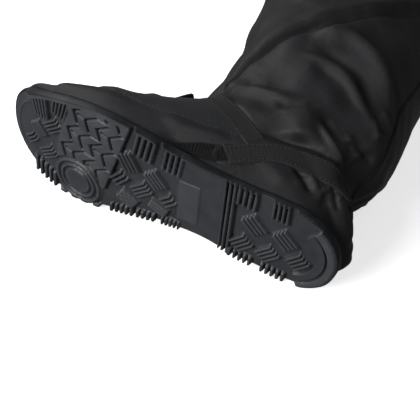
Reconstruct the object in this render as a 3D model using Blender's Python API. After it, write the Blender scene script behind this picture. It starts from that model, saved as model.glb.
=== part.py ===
# Overboot for the left foot: a thin moulded rubber sole under a cloth foot and shaft,
# with a heel band, elastics and an instep band. It lies on its inner (medial) side.
# Sizes are in millimetres in the boot's own standing frame: x runs from the heel's end
# to the toe, y to the outer (lateral) side and z up from the tread.

import bpy
import bmesh
import numpy as np
from mathutils import Matrix, Vector

MM = 0.001
GAP = 0.3                        # clearance between pieces that are glued or sewn

# Sole sizes
SOLE_LENGTH = 318.0
STATIONS = 26                    # stations along each edge of the sole
SPRING_START = 187.0             # the toe begins to rise here
SPRING_REACH = 125.0
SPRING_RISE = 18.0
LUG_HEIGHT = 3.2                 # tread above the sole's floor
ARCH_X, ARCH_REACH, ARCH_RISE = 121.0, 20.0, 1.0
BED_HEIGHT = 7.0                 # where insole and upper stand, above the tread
LIP_WALL = 2.5                   # rubber wall around the upper's foot
INSOLE_THICKNESS = 2.2
INSOLE_MARGIN = 2.0              # from the upper's inner side
ROOT = 1.2                       # how far a lug reaches into the sole

# Edge of the sole: x, lateral y, medial y
SOLE_EDGE = [
    (0.0, -8.0, -8.0),
    (9.0, 18.0, -37.5),
    (22.0, 30.0, -47.5),
    (40.0, 37.0, -50.0),
    (62.0, 38.0, -49.5),
    (90.0, 38.5, -47.5),
    (118.0, 40.5, -44.0),
    (142.0, 44.0, -44.0),
    (170.0, 49.0, -49.0),
    (200.0, 53.5, -57.0),
    (222.0, 53.5, -63.5),
    (245.0, 49.0, -68.0),
    (265.0, 42.0, -68.5),
    (285.0, 33.0, -64.5),
    (302.0, 21.5, -55.5),
    (312.5, 8.0, -42.0),
    (318.0, -19.0, -19.0),
]

# Height of the sole's side above the tread: x, height
SOLE_SIDE = [
    (0.0, 10.5),
    (60.0, 10.0),
    (118.0, 8.8),
    (200.0, 8.2),
    (258.0, 8.4),
    (280.0, 12.5),
    (300.0, 14.0),
    (318.0, 15.0),
]

# Sole rings from the tread side up and in: inset, share of the side's height
SOLE_RINGS = [
    (2.6, 0.0),
    (0.0, 0.25),
    (0.0, 0.6),
    (0.8, 0.7),
    (1.3, 1.0),
    (LIP_WALL - 0.1, 1.0),
]

# Ribbed lugs: centre x, centre y, rib length, span across the ribs, turn, ribs
LUGS = [
    (281.0, 19.0, 18.0, 17.0, 9.0, 4),
    (255.0, 33.0, 23.0, 17.0, -12.0, 4),
    (178.5, 35.0, 25.0, 19.0, -8.0, 4),
    (150.5, 32.5, 26.0, 17.0, -5.0, 4),
    (83.0, 28.5, 20.0, 17.0, 0.0, 4),
    (54.5, 28.0, 19.0, 14.0, 0.0, 3),
    (74.2, 1.5, 19.5, 15.8, 44.0, 4),
    (46.4, -1.0, 19.0, 15.2, 47.0, 4),
    (83.6, -26.5, 19.0, 14.0, -47.0, 4),
    (59.6, -26.0, 19.0, 14.0, -47.0, 4),
    (33.6, -20.0, 18.0, 14.0, -50.0, 4),
    (190.0, 11.0, 21.0, 14.0, 30.0, 4),
    (164.4, 3.0, 19.0, 14.0, 40.0, 4),
    (197.5, -12.0, 17.0, 11.0, -39.0, 3),
    (177.2, -16.0, 19.0, 13.5, -49.0, 4),
    (152.0, -15.5, 13.0, 11.5, -45.0, 3),
    (190.0, -34.0, 18.5, 13.5, 62.0, 4),
    (160.5, -29.0, 18.0, 9.5, 70.0, 3),
    (268.5, 5.0, 20.0, 12.0, -48.0, 4),
    (284.5, -8.0, 15.0, 11.0, 40.0, 4),
    (293.5, -26.0, 13.0, 9.0, -45.0, 3),
    (276.5, -31.0, 18.0, 11.5, -52.0, 4),
]
RIB_SHARE = 0.62                 # rib width over rib pitch

# Ribs over the sole's medial edge: first x, last x, reach inwards, ribs
EDGE_LUGS = [
    (288.0, 268.0, 17.0, 4),
    (260.0, 224.0, 3.2, 5),
    (208.0, 187.0, 9.0, 4),
    (181.0, 166.0, 8.0, 3),
    (156.0, 141.0, 8.0, 3),
    (93.0, 77.0, 9.0, 4),
    (62.0, 43.0, 9.0, 4),
]
EDGE_LUG_PROUD = 1.2             # past the sole's side
EDGE_LUG_CLIMB = 6.0             # up the sole's side, from the tread

PIVOT = (242.0, -43.5)           # middle of the ringed turning pad
PIVOT_RINGS = [(0.0, 13.7), (16.3, 19.8), (22.0, 24.6)]    # inner radius, outer radius
PIVOT_SIDES = 20

HEEL_ARC = (47.5, -9.8)          # middle of the heel's curved groove
HEEL_ARC_RADIUS = 37.6
HEEL_ARC_GROOVE = 1.8
HEEL_INNER = 29.0                # inner radius of the heel pad
HEEL_PAD_FROM, HEEL_PAD_TO = 132.0, 236.0    # degrees around the heel
HEEL_PAD_STEPS = 11

BREAST_RIBS = [(102.5, 2.4), (98.6, 3.0), (94.0, 3.0)]     # x, width across the heel's front
PLATE = (124.6, 143.6, -31.0, 15.0, 0.8)     # bare plate in the waist: x, x, y, y, height
TOE_RIM_FROM, TOE_RIM_WIDTH = 300.0, 7.0

# Pad with lightning grooves under the ball: x, y around its edge
BALL_PAD = [
    (190.5, 49.5), (203.0, 50.5), (222.0, 50.0), (236.0, 46.5), (244.0, 43.0), (250.0, 20.0),
    (257.0, -5.0), (259.5, -18.0), (246.0, -16.0), (232.0, -16.8), (221.0, -24.0), (213.5, -34.0),
    (211.0, -34.0), (200.0, 12.0),
]
BOLT_FIRST = (243.1, 40.5)       # head of the first groove
BOLT_ACROSS = (-11.6, -4.0)      # from one column of grooves to the next
BOLT_ALONG = (6.6, -23.0)        # from one row to the next
BOLT_STROKE = (-3.4, -12.5)      # straight part of a groove
BOLT_TAIL = (-9.5, 8.0)          # slanted part that leaves its head
BOLT_WIDTH, BOLT_DEPTH = 2.2, 2.0
BOLT_GRID = [(column, row) for row in range(3) for column in range(4)]

# Upper sizes
WALL = 1.4                       # coated cloth with its lining
SIDE_STEPS = 10                  # columns from the sole to the crest, on each side
ROWS_PER_SECTION = 2
UPPER_INSET = 3.1                # foot of the upper inside the sole's lip
UPPER_RISE = 0.5                 # first free section above the lip
HEEL_LEAN_ROWS = 6.0             # sections over which the back comes to the crest's line
TOE_FRONT = 272.0                # past here each edge of the sole narrows to the toe

# Sections over the foot, from the toe to the heel's end:
# x on the sole's edge, crest x, crest z, widest lateral y, widest medial y, fullness
# (a fullness of 1 is an ellipse, and below 1 the section is squarer)
FOOT_SECTIONS = [
    (297.5, 315.0, 33.0, 20.0, -56.0, 1.0),
    (280.0, 310.0, 37.0, 34.0, -65.0, 1.0),
    (257.0, 288.0, 41.5, 45.5, -69.0, 1.03),
    (230.0, 258.0, 51.0, 54.0, -66.5, 1.05),
    (200.0, 221.0, 64.0, 55.5, -58.5, 1.05),
    (168.0, 190.0, 79.5, 52.5, -50.5, 1.03),
    (136.0, 174.5, 93.0, 50.5, -47.5, 1.0),
    (104.0, 169.0, 103.0, 50.0, -47.0, 0.97),
    (75.0, 167.8, 112.0, 51.0, -47.5, 0.95),
    (50.0, 167.5, 119.5, 52.5, -47.5, 0.95),
    (29.0, 167.6, 127.0, 54.0, -48.0, 0.95),
    (13.0, 167.9, 134.5, 55.5, -49.0, 0.95),
    (3.2, 168.2, 142.0, 57.0, -50.0, 0.95),
    (0.0, 168.7, 149.5, 58.0, -51.0, 0.95),
]

# Sections up the shaft: back x, back z, front x, front z, widest lateral y, widest medial y, fullness
SHAFT_SECTIONS = [
    (-3.0, 20.0, 169.3, 156.0, 59.0, -52.5, 0.95),
    (1.0, 34.0, 169.8, 162.5, 60.0, -54.5, 0.95),
    (10.5, 49.0, 170.3, 169.5, 61.0, -57.0, 0.94),
    (15.5, 63.0, 171.2, 177.5, 62.0, -60.0, 0.92),
    (8.0, 78.0, 172.8, 186.5, 64.0, -63.5, 0.9),
    (-2.5, 96.0, 175.0, 197.5, 66.0, -67.5, 0.88),
    (-4.0, 124.0, 178.0, 212.0, 67.5, -72.0, 0.88),
    (-1.5, 158.0, 181.5, 231.0, 68.5, -74.5, 0.88),
    (1.0, 197.0, 185.5, 257.0, 69.2, -75.5, 0.88),
    (6.2, 255.0, 191.0, 298.0, 70.0, -76.2, 0.88),
    (12.3, 315.0, 196.0, 341.0, 70.5, -76.8, 0.88),
    (19.0, 378.0, 201.0, 386.0, 71.0, -77.4, 0.88),
]

# Main folds in the side view, as three points along each one's line, its width and its height
# (a trough has a negative height): x, z, x, z, x, z, width, height
FOLDS = [
    (112.0, 30.0, 62.0, 45.0, 8.0, 56.0, 11.0, -4.0),
    (100.0, 66.0, 62.0, 72.0, 22.0, 78.0, 11.0, 5.0),
    (152.0, 116.0, 122.0, 161.0, 60.0, 232.0, 9.0, -5.0),
    (156.0, 138.0, 118.0, 186.0, 52.0, 250.0, 11.0, 4.0),
    (84.0, 178.0, 50.0, 164.0, 14.0, 126.0, 12.0, 5.0),
    (96.0, 138.0, 56.0, 124.0, 22.0, 98.0, 10.0, 4.0),
]
MEDIAL_FOLD_SHARE = 0.3          # folds are flatter on the side it lies on
FAIRING = [0.5, -0.52] * 14      # towards the neighbours' mean and back, which keeps broad forms

# Overlays on the upper, cut in the side view: x, z along the lower and the upper edge
BAND_THICKNESS = 1.6
HEEL_BAND_LOWER = [(118.0, 16.0), (100.0, 25.0), (80.0, 33.0), (58.0, 37.5), (30.0, 42.5), (-20.0, 48.0)]
HEEL_BAND_UPPER = [(124.5, 28.5), (108.0, 39.5), (90.0, 47.5), (64.0, 54.5), (30.0, 60.5), (-20.0, 66.0)]
ELASTIC_LOWER = [(118.6, 15.7), (136.0, 13.0), (149.0, 12.0)]
ELASTIC_UPPER = [(125.1, 28.2), (136.0, 23.5), (155.0, 13.0)]
INSTEP_BAND_LOWER = [(107.5, 40.5), (151.0, 63.0), (200.0, 92.0)]
INSTEP_BAND_UPPER = [(92.5, 47.0), (139.0, 76.0), (196.0, 113.0)]
HEM_LOWER = [(-40.0, 349.0), (260.0, 362.0)]
HEM_UPPER = [(-40.0, 420.0), (260.0, 420.0)]
HEM_THICKNESS = 1.2
BACK_STRIP_SIDES = (-30.0, 33.0)             # y of its two edges
BACK_STRIP_HEIGHTS = (86.0, 350.0)
BACK_STRIP_FRONT = 60.0                      # only the back of the shaft, to this x
BACK_STRIP_THICKNESS = 1.0

# Floor under the lying boot, in the boot's frame: y = FLOOR_Y + FLOOR_PER_X * x + FLOOR_PER_Z * z.
# It touches the sole's edge at heel and ball, and the cloth lies flat on it.
FLOOR_Y, FLOOR_PER_X, FLOOR_PER_Z = -47.61, -0.0864, -0.11
FLOOR_SOFTNESS = 0.4

TAB_X = (207.0, 186.0)           # sewn end and free end of the instep tab
TAB_WIDTH, TAB_THICKNESS, TAB_LIFT = 21.0, 1.6, 6.0
TAB_STEPS = 6


def smooth(at, keys, values):
    """Cubic curve through the keys, with each key's slope taken from its neighbours."""
    keys, values = np.asarray(keys, float), np.asarray(values, float)
    slope = np.gradient(values, keys)
    low = np.clip(np.searchsorted(keys, at, side="right") - 1, 0, len(keys) - 2)
    step = keys[low + 1] - keys[low]
    t = (np.asarray(at, float) - keys[low]) / step
    ahead = (3 - 2 * t) * t * t
    return ((1 - ahead) * values[low] + ahead * values[low + 1]
            + step * t * (1 - t) * ((1 - t) * slope[low] - t * slope[low + 1]))


def angle_at(x):
    """Station angle of a length: 0 at the heel's end, pi at the toe."""
    return np.arccos(1 - 2 * np.clip(np.asarray(x, float) / SOLE_LENGTH, 0, 1))


def spring(x):
    """Rise of the tread towards the toe."""
    return SPRING_RISE * np.clip((np.asarray(x, float) - SPRING_START) / SPRING_REACH, 0, None) ** 2


def arch(x):
    return ARCH_RISE * np.exp(-((np.asarray(x, float) - ARCH_X) / ARCH_REACH) ** 2)


def sole_floor(x):
    return spring(x) + LUG_HEIGHT + arch(x)


def sole_bed(x):
    return spring(x) + BED_HEIGHT + arch(x)


def sole_lip(x):
    station, height = zip(*SOLE_SIDE)
    return spring(x) + np.interp(x, station, height)


def outline(inset=0.0, stations=STATIONS):
    """Edge of the sole as one loop: heel to toe on the lateral side, back on the medial side."""
    x, lateral, medial = np.array(SOLE_EDGE).T
    theta = np.linspace(0, np.pi, stations + 1)
    length = SOLE_LENGTH * (1 - np.cos(theta)) / 2
    sides = [np.c_[length, smooth(theta, angle_at(x), side)] for side in (lateral, medial)]
    loop = np.concatenate([sides[0], sides[1][-2:0:-1]])
    run = np.roll(loop, -1, axis=0) - np.roll(loop, 1, axis=0)
    outward = np.c_[-run[:, 1], run[:, 0]] / np.linalg.norm(run, axis=1)[:, None]
    return loop - inset * outward


def new_material(name, colour, roughness):
    material = bpy.data.materials.new(name)
    material.use_nodes = True
    shader = material.node_tree.nodes["Principled BSDF"]
    shader.inputs["Base Color"].default_value = (*colour, 1.0)
    shader.inputs["Roughness"].default_value = roughness
    shader.inputs["Metallic"].default_value = 0.0
    return material


def new_object(name, vertices, faces, material=None):
    """Closed mesh from points in millimetres, with its faces pointing out."""
    mesh = bpy.data.meshes.new(name)
    bm = bmesh.new()
    points = [bm.verts.new(point) for point in (np.asarray(vertices, float) * MM).tolist()]
    for face in faces:
        bm.faces.new([points[i] for i in face])
    bmesh.ops.recalc_face_normals(bm, faces=bm.faces)
    bm.to_mesh(mesh)
    bm.free()
    obj = bpy.data.objects.new(name, mesh)
    bpy.context.scene.collection.objects.link(obj)
    if material:
        mesh.materials.append(material)
    return obj


def loft(rings):
    """Closed solid through loops of the sole's outline, with a strip across each end."""
    count = len(rings[0])
    half = count // 2
    faces = []
    for ring in range(len(rings) - 1):
        for i in range(count):
            ahead = (i + 1) % count
            a, b = ring * count, (ring + 1) * count
            faces.append((a + i, a + ahead, b + ahead, b + i))
    for start in (0, (len(rings) - 1) * count):
        faces.append((start, start + 1, start + count - 1))
        faces += [(start + i, start + i + 1, start + count - i - 1, start + count - i)
                  for i in range(1, half - 1)]
        faces.append((start + half - 1, start + half, start + half + 1))
    return np.concatenate(rings), faces


def prism(corners, low, high):
    """Upright block over a polygon, between two heights given for each corner."""
    corners = np.asarray(corners, float)
    count = len(corners)
    points = np.concatenate([np.c_[corners, low], np.c_[corners, high]])
    faces = [tuple(range(count)), tuple(range(count, 2 * count))]
    faces += [(i, (i + 1) % count, count + (i + 1) % count, count + i) for i in range(count)]
    return points, faces


def lug(corners, height=LUG_HEIGHT):
    """Block that stands down from the sole's floor."""
    x = np.asarray(corners, float)[:, 0]
    return prism(corners, sole_floor(x) - arch(x) - height, sole_floor(x) + ROOT)


def rib_corners(x, y, length, width, turn):
    along = np.array([np.sin(turn), np.cos(turn)])
    across = np.array([along[1], -along[0]])
    signs = [(-1, -1), (1, -1), (1, 1), (-1, 1)]
    return [np.array([x, y]) + a * along * length / 2 + b * across * width / 2 for a, b in signs]


def ribbed_lug(x, y, length, span, turn, ribs):
    turn = np.radians(turn)
    pitch = span / (ribs - 1 + RIB_SHARE)
    across = np.array([np.cos(turn), -np.sin(turn)])
    for i in range(ribs):
        middle = np.array([x, y]) + across * pitch * (i - (ribs - 1) / 2)
        yield lug(rib_corners(*middle, length, pitch * RIB_SHARE, turn))


def edge_lugs(first, last, reach, ribs):
    """Ribs square to the sole's medial edge, standing a little proud of its side."""
    edge = outline()[STATIONS:]
    pitch = abs(first - last) / ribs
    for x in np.linspace(first, last, ribs):
        y = np.interp(x, edge[::-1, 0], edge[::-1, 1])
        before, after = np.interp([x - 2, x + 2], edge[::-1, 0], edge[::-1, 1])
        turn = -np.arctan2(after - before, 4.0)
        outward = np.array([-np.sin(turn), -np.cos(turn)])
        middle = np.array([x, y]) + outward * (EDGE_LUG_PROUD - reach) / 2
        corners = rib_corners(*middle, reach + EDGE_LUG_PROUD, pitch * RIB_SHARE, turn)
        corner_x = np.array(corners)[:, 0]
        yield prism(corners, spring(corner_x), spring(corner_x) + EDGE_LUG_CLIMB)


def ring_lug(middle, inner, outer, sides=PIVOT_SIDES):
    """Round pad, or a ring where the inner radius isn't zero."""
    turn = np.linspace(0, 2 * np.pi, sides, endpoint=False)
    circle = np.c_[np.cos(turn), np.sin(turn)]
    if inner == 0:
        return lug(np.array(middle) + outer * circle)
    inside, outside = (np.array(middle) + radius * circle for radius in (inner, outer))
    return band_lug(inside, outside, closed=True)


def tube(rows, closed=False):
    """Solid through four rows of points, as a ring or with flat ends."""
    count = len(rows[0])
    faces = []
    for i in range(count if closed else count - 1):
        ahead = (i + 1) % count
        for row in range(4):
            a, b = row * count, (row + 1) % 4 * count
            faces.append((a + i, a + ahead, b + ahead, b + i))
    if not closed:
        faces += [tuple(row * count + end for row in range(4)) for end in (0, count - 1)]
    return np.concatenate(rows), faces


def band_lug(inside, outside, closed=False):
    """Strip of tread between two rows of points."""
    rows = []
    for edge, top in ((inside, False), (outside, False), (outside, True), (inside, True)):
        x = edge[:, 0]
        rows.append(np.c_[edge, sole_floor(x) + ROOT if top else spring(x)])
    return tube(rows, closed)


def heel_pads():
    """Two curved pads at the heel's end, with the curved groove between them."""
    turn = np.radians(np.linspace(HEEL_PAD_FROM, HEEL_PAD_TO, HEEL_PAD_STEPS))
    ray = np.c_[np.cos(turn), np.sin(turn)]
    middle = np.array(HEEL_ARC)
    edge = outline(1.6)
    edge_turn = np.arctan2(edge[:, 1] - middle[1], edge[:, 0] - middle[0]) % (2 * np.pi)
    order = np.argsort(edge_turn)
    edge_radius = np.interp(turn, edge_turn[order], np.linalg.norm(edge - middle, axis=1)[order])
    half = HEEL_ARC_GROOVE / 2
    yield band_lug(middle + HEEL_INNER * ray, middle + (HEEL_ARC_RADIUS - half) * ray)
    yield band_lug(middle + (HEEL_ARC_RADIUS + half) * ray, middle + edge_radius[:, None] * ray)


def toe_rim():
    outside, inside = outline(1.6), outline(1.6 + TOE_RIM_WIDTH)
    front = outside[:, 0] > TOE_RIM_FROM
    return band_lug(inside[front], outside[front])


def breast_ribs():
    """Ridges across the front of the heel."""
    edge = outline(2.0)
    lateral, medial = edge[:STATIONS + 1], edge[STATIONS:][::-1]
    for x, width in BREAST_RIBS:
        top = np.interp(x, lateral[:, 0], lateral[:, 1])
        bottom = np.interp(x, medial[:, 0], medial[:, 1])
        yield lug(rib_corners(x, (top + bottom) / 2, top - bottom, width, 0.0))


def tread():
    pieces = [piece for row in LUGS for piece in ribbed_lug(*row)]
    pieces += [piece for row in EDGE_LUGS for piece in edge_lugs(*row)]
    pieces += [ring_lug(PIVOT, *radii) for radii in PIVOT_RINGS]
    pieces += [*heel_pads(), toe_rim(), *breast_ribs(), lug(BALL_PAD)]
    x0, x1, y0, y1, height = PLATE
    pieces.append(lug([(x0, y0), (x1, y0), (x1, y1), (x0, y1)], height))
    return join(pieces)


def bolt_grooves():
    """Lightning grooves: each has a slanted tail, a head and a straight stroke."""
    pieces = []
    for column, row in BOLT_GRID:
        head = np.array(BOLT_FIRST) + column * np.array(BOLT_ACROSS) + row * np.array(BOLT_ALONG)
        path = np.array([head + BOLT_TAIL, head, head + BOLT_STROKE])
        run = np.gradient(path, axis=0)
        side = np.c_[-run[:, 1], run[:, 0]] / np.linalg.norm(run, axis=1)[:, None] * BOLT_WIDTH / 2
        corners = np.concatenate([path + side, (path - side)[::-1]])
        low = spring(corners[:, 0])
        pieces.append(prism(corners, low - BOLT_DEPTH, low + BOLT_DEPTH))
    return join(pieces)


def join(pieces):
    points, faces, start = [], [], 0
    for vertices, sides in pieces:
        points.append(vertices)
        faces += [tuple(i + start for i in side) for side in sides]
        start += len(vertices)
    return np.concatenate(points), faces


def combine(target, tool, operation):
    """Boolean of a tool on a target; the tool stays as a hidden guide."""
    modifier = target.modifiers.new(operation.title(), "BOOLEAN")
    modifier.operation = operation
    modifier.solver = "EXACT"
    modifier.use_self = True     # neighbouring lugs may meet
    modifier.object = tool
    tool.hide_render = True
    tool.display_type = "WIRE"


def make_outsole(material):
    rings = []
    for inset, share in SOLE_RINGS:
        loop = outline(inset)
        low, high = sole_floor(loop[:, 0]), sole_lip(loop[:, 0])
        rings.append(np.c_[loop, low + share * (high - low)])
    bed = outline(LIP_WALL)
    rings.append(np.c_[bed, sole_bed(bed[:, 0])])
    sole = new_object("outsole", *loft(rings), material)
    combine(sole, new_object("tread_guide", *tread()), "UNION")
    combine(sole, new_object("bolt_guide", *bolt_grooves()), "DIFFERENCE")
    return sole


def make_insole(material):
    loop = outline(UPPER_INSET + WALL + INSOLE_MARGIN)
    low = sole_bed(loop[:, 0]) + GAP
    return new_object("insole", *loft([np.c_[loop, low], np.c_[loop, low + INSOLE_THICKNESS]]), material)


def upper_grid():
    """Upper's outer surface: rows from toe to collar, columns from the lateral side over the crest."""
    foot, shaft = np.array(FOOT_SECTIONS), np.array(SHAFT_SECTIONS)
    heel_row = len(foot) - 1
    keys = np.arange(len(foot) + len(shaft))
    at = np.linspace(0, keys[-1], ROWS_PER_SECTION * keys[-1] + 1)
    crest_x, crest_z, lateral, medial, fullness = (
        smooth(at, keys, np.concatenate([foot[:, i], shaft[:, i + 1]])) for i in range(1, 6))
    fullness = fullness[:, None]
    crest_y = (lateral + medial) / 2
    fine = 240
    edge = outline(UPPER_INSET, fine)
    theta = np.linspace(0, np.pi, fine + 1)
    row_theta = np.interp(at, keys[:heel_row + 1], angle_at(foot[:, 0]))
    row_theta = np.where(at >= heel_row, 0.0, row_theta)
    closed = at >= heel_row
    loops = edge[:fine + 1], np.r_[edge[:1], edge[fine:][::-1]]
    base_x = np.interp(row_theta, theta, loops[0][:, 0])
    base_z = sole_lip(base_x) + UPPER_RISE
    back_x, back_z = np.r_[[[base_x[closed][0], base_z[closed][0]]], shaft[:, :2]].T
    base_x[closed] = smooth(at[closed], keys[heel_row:], back_x)
    base_z[closed] = smooth(at[closed], keys[heel_row:], back_z)
    base_sides = [np.interp(row_theta, theta, loop[:, 1]) for loop in loops]
    lean = np.clip(1 - (at - heel_row) / HEEL_LEAN_ROWS, 0, 1)
    base_y = crest_y + (sum(base_sides) / 2 - crest_y) * lean
    share = np.linspace(0, 1, SIDE_STEPS + 1)
    halves = []
    for loop, side, widest in zip(loops, base_sides, (lateral, medial)):
        spread = np.where(closed, 0, np.clip((side - base_y) / (widest - crest_y), 0, 1))
        start = -np.arccos(spread ** (1 / fullness[:, 0]))
        phi = start[:, None] + (np.pi / 2 - start)[:, None] * share
        rise = np.sign(np.sin(phi)) * np.abs(np.sin(phi)) ** fullness
        climb = (rise - rise[:, :1]) / (1 - rise[:, :1])
        width = np.abs(np.cos(phi)) ** fullness
        width[:, -1] = 0.0
        x = base_x[:, None] + (crest_x - base_x)[:, None] * climb
        y = base_y[:, None] + (crest_y - base_y)[:, None] * climb + (widest - crest_y)[:, None] * width
        z = base_z[:, None] + (crest_z - base_z)[:, None] * climb
        half = np.stack([x, y, z], axis=-1)
        front = loop[loop[:, 0] > TOE_FRONT]
        order = np.argsort(front[:, 1])
        half[0, :, 1] = side[0] + (crest_y[0] - side[0]) * share
        half[0, :, 0] = np.interp(half[0, :, 1], front[order, 1], front[order, 0])
        half[0, :, 2] = sole_lip(half[0, :, 0]) + UPPER_RISE
        halves.append(half)
    grid = np.concatenate([halves[0], halves[1][:, -2::-1]], axis=1)
    return grid, ROWS_PER_SECTION * heel_row


def relief(points):
    """Height of the folds at points on the upper, from their distance to each fold's line."""
    height = np.zeros(len(points))
    t = np.linspace(0, 1, 25)[:, None]
    for x0, z0, x1, z1, x2, z2, width, rise in FOLDS:
        ends, bend = np.array([[x0, z0], [x2, z2]]), np.array([x1, z1])
        line = (1 - t) * (1 - 2 * t) * ends[0] + 4 * t * (1 - t) * bend + t * (2 * t - 1) * ends[1]
        away = np.linalg.norm(points[:, None, [0, 2]] - line, axis=2).min(axis=1)
        height += rise * np.exp(-(away / width) ** 2)
    return height * np.where(points[:, 1] < 0, MEDIAL_FOLD_SHARE, 1.0)


def fair(bm):
    """Take ripples out of an open mesh, with its borders held."""
    bm.verts.index_update()
    place = np.array([vertex.co for vertex in bm.verts])
    free = np.array([not vertex.is_boundary for vertex in bm.verts])
    ends = np.array([[vertex.index for vertex in edge.verts] for edge in bm.edges])
    start, end = np.concatenate([ends, ends[:, ::-1]]).T
    count = np.bincount(start)[:, None]
    for step in FAIRING:
        mean = np.stack([np.bincount(start, place[end, i]) for i in range(3)], axis=1) / count
        place[free] += step * (mean - place)[free]
    for vertex, point in zip(bm.verts, place):
        vertex.co = point
    bm.normal_update()


def upper_skin(offset=0.0, skirt=False):
    """The upper's surface as an open mesh, moved out by an offset, with or without its foot."""
    grid, heel_row = upper_grid()
    rows, columns = grid.shape[:2]
    bm = bmesh.new()
    points = [[bm.verts.new(point * MM) for point in row] for row in grid]
    for row in range(heel_row, rows):
        bm.verts.remove(points[row][-1])
        points[row][-1] = points[row][0]
    for row in range(rows - 1):
        for column in range(columns - 1):
            near, far = points[row], points[row + 1]
            bm.faces.new((near[column], far[column], far[column + 1], near[column + 1]))
    fair(bm)
    inner = [vertex for vertex in bm.verts if not vertex.is_boundary]
    heights = relief(np.array([vertex.co / MM for vertex in inner]))
    for vertex, height in zip(inner, heights):
        vertex.co += vertex.normal * height * MM
    for vertex in inner:
        floor = FLOOR_Y * MM + FLOOR_PER_X * vertex.co.x + FLOOR_PER_Z * vertex.co.z
        above = vertex.co.y - floor
        vertex.co.y = floor + (above + np.hypot(above, 2 * FLOOR_SOFTNESS * MM)) / 2
    bmesh.ops.triangulate(bm, faces=bm.faces, quad_method="SHORT_EDGE")
    bm.normal_update()
    for vertex in bm.verts:
        vertex.co += vertex.normal * offset * MM
    if skirt:
        collar = set(points[-1])
        feather = [edge for edge in bm.edges if edge.is_boundary and not collar.issuperset(edge.verts)]
        lower = bmesh.ops.extrude_edge_only(bm, edges=feather)["geom"]
        for vertex in (item for item in lower if isinstance(item, bmesh.types.BMVert)):
            vertex.co.z = (sole_bed(vertex.co.x / MM) + GAP) * MM
    return bm


def shell(name, skin, thickness, outwards, material):
    """Wall made from an open mesh, on its outer or its inner side."""
    mesh = bpy.data.meshes.new(name)
    skin.to_mesh(mesh)
    skin.free()
    mesh.materials.append(material)
    obj = bpy.data.objects.new(name, mesh)
    bpy.context.scene.collection.objects.link(obj)
    wall = obj.modifiers.new("Wall", "SOLIDIFY")
    wall.thickness = thickness * MM
    wall.offset = 1.0 if outwards else -1.0
    wall.use_even_offset = True
    return obj


def make_overlay(name, guide, thickness, material):
    """Piece of an outer shell of the upper, where a guide block cuts it."""
    overlay = shell(name, upper_skin(offset=GAP), thickness, True, material)
    combine(overlay, new_object(name + "_guide", *guide), "INTERSECT")
    return overlay


def side_guide(lower, upper, y_from, y_to):
    """Block across the boot over a strip drawn in the side view."""
    corners = np.array(lower + upper[::-1])
    points, faces = prism(corners, np.full(len(corners), y_from), np.full(len(corners), y_to))
    return points[:, [0, 2, 1]], faces


def back_guide():
    (y0, y1), (z0, z1) = BACK_STRIP_SIDES, BACK_STRIP_HEIGHTS
    corners = np.array([(-60.0, y0), (BACK_STRIP_FRONT, y0), (BACK_STRIP_FRONT, y1), (-60.0, y1)])
    return prism(corners, np.full(4, z0), np.full(4, z1))


def make_tab(material):
    """Small sewn tab on the instep whose free end lifts."""
    grid, heel_row = upper_grid()
    crest = grid[:heel_row, SIDE_STEPS]
    share = np.linspace(0, 1, TAB_STEPS + 1)
    x = TAB_X[0] + (TAB_X[1] - TAB_X[0]) * share
    order = np.argsort(crest[:, 0])
    y, z = (np.interp(x, crest[order, 0], crest[order, i]) for i in (1, 2))
    low = z + 2 * GAP + TAB_LIFT * share ** 2
    left, right = y + TAB_WIDTH / 2, y - TAB_WIDTH / 2
    rows = [np.c_[x, left, low], np.c_[x, right, low],
            np.c_[x, right, low + TAB_THICKNESS], np.c_[x, left, low + TAB_THICKNESS]]
    return new_object("instep_tab", *tube(rows), material)


def lie_down():
    """Turn the boot on to its medial side, with its sole to the front and its box over the origin."""
    stand = Matrix(((-1, 0, 0), (0, 0, 1), (0, 1, 0)))
    down = stand @ Vector((FLOOR_PER_X, -1, FLOOR_PER_Z)).normalized()
    turn = down.rotation_difference(Vector((0, 0, -1))).to_matrix() @ stand
    graph = bpy.context.evaluated_depsgraph_get()
    pieces = [obj for obj in bpy.data.objects if obj.type == "MESH"]
    points = np.array([turn @ vertex.co for obj in pieces if not obj.hide_render
                       for vertex in obj.evaluated_get(graph).data.vertices])
    low, high = points.min(axis=0), points.max(axis=0)
    frame = bpy.data.objects.new("boot_frame", None)
    bpy.context.scene.collection.objects.link(frame)
    shift = Vector((-(low[0] + high[0]) / 2, -(low[1] + high[1]) / 2, -low[2]))
    frame.matrix_world = Matrix.Translation(shift) @ turn.to_4x4()
    for obj in pieces:
        obj.parent = frame


for leftover in list(bpy.data.objects):
    bpy.data.objects.remove(leftover)

rubber = new_material("sole_rubber", (0.05, 0.056, 0.066), 0.5)
cloth = new_material("upper_cloth", (0.035, 0.035, 0.04), 0.6)
felt = new_material("insole_felt", (0.09, 0.085, 0.08), 0.9)
webbing = new_material("band_webbing", (0.04, 0.042, 0.035), 0.8)
elastic = new_material("elastic_webbing", (0.02, 0.02, 0.022), 0.85)

make_outsole(rubber)
make_insole(felt)
shell("upper", upper_skin(skirt=True), WALL, False, cloth)

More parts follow.
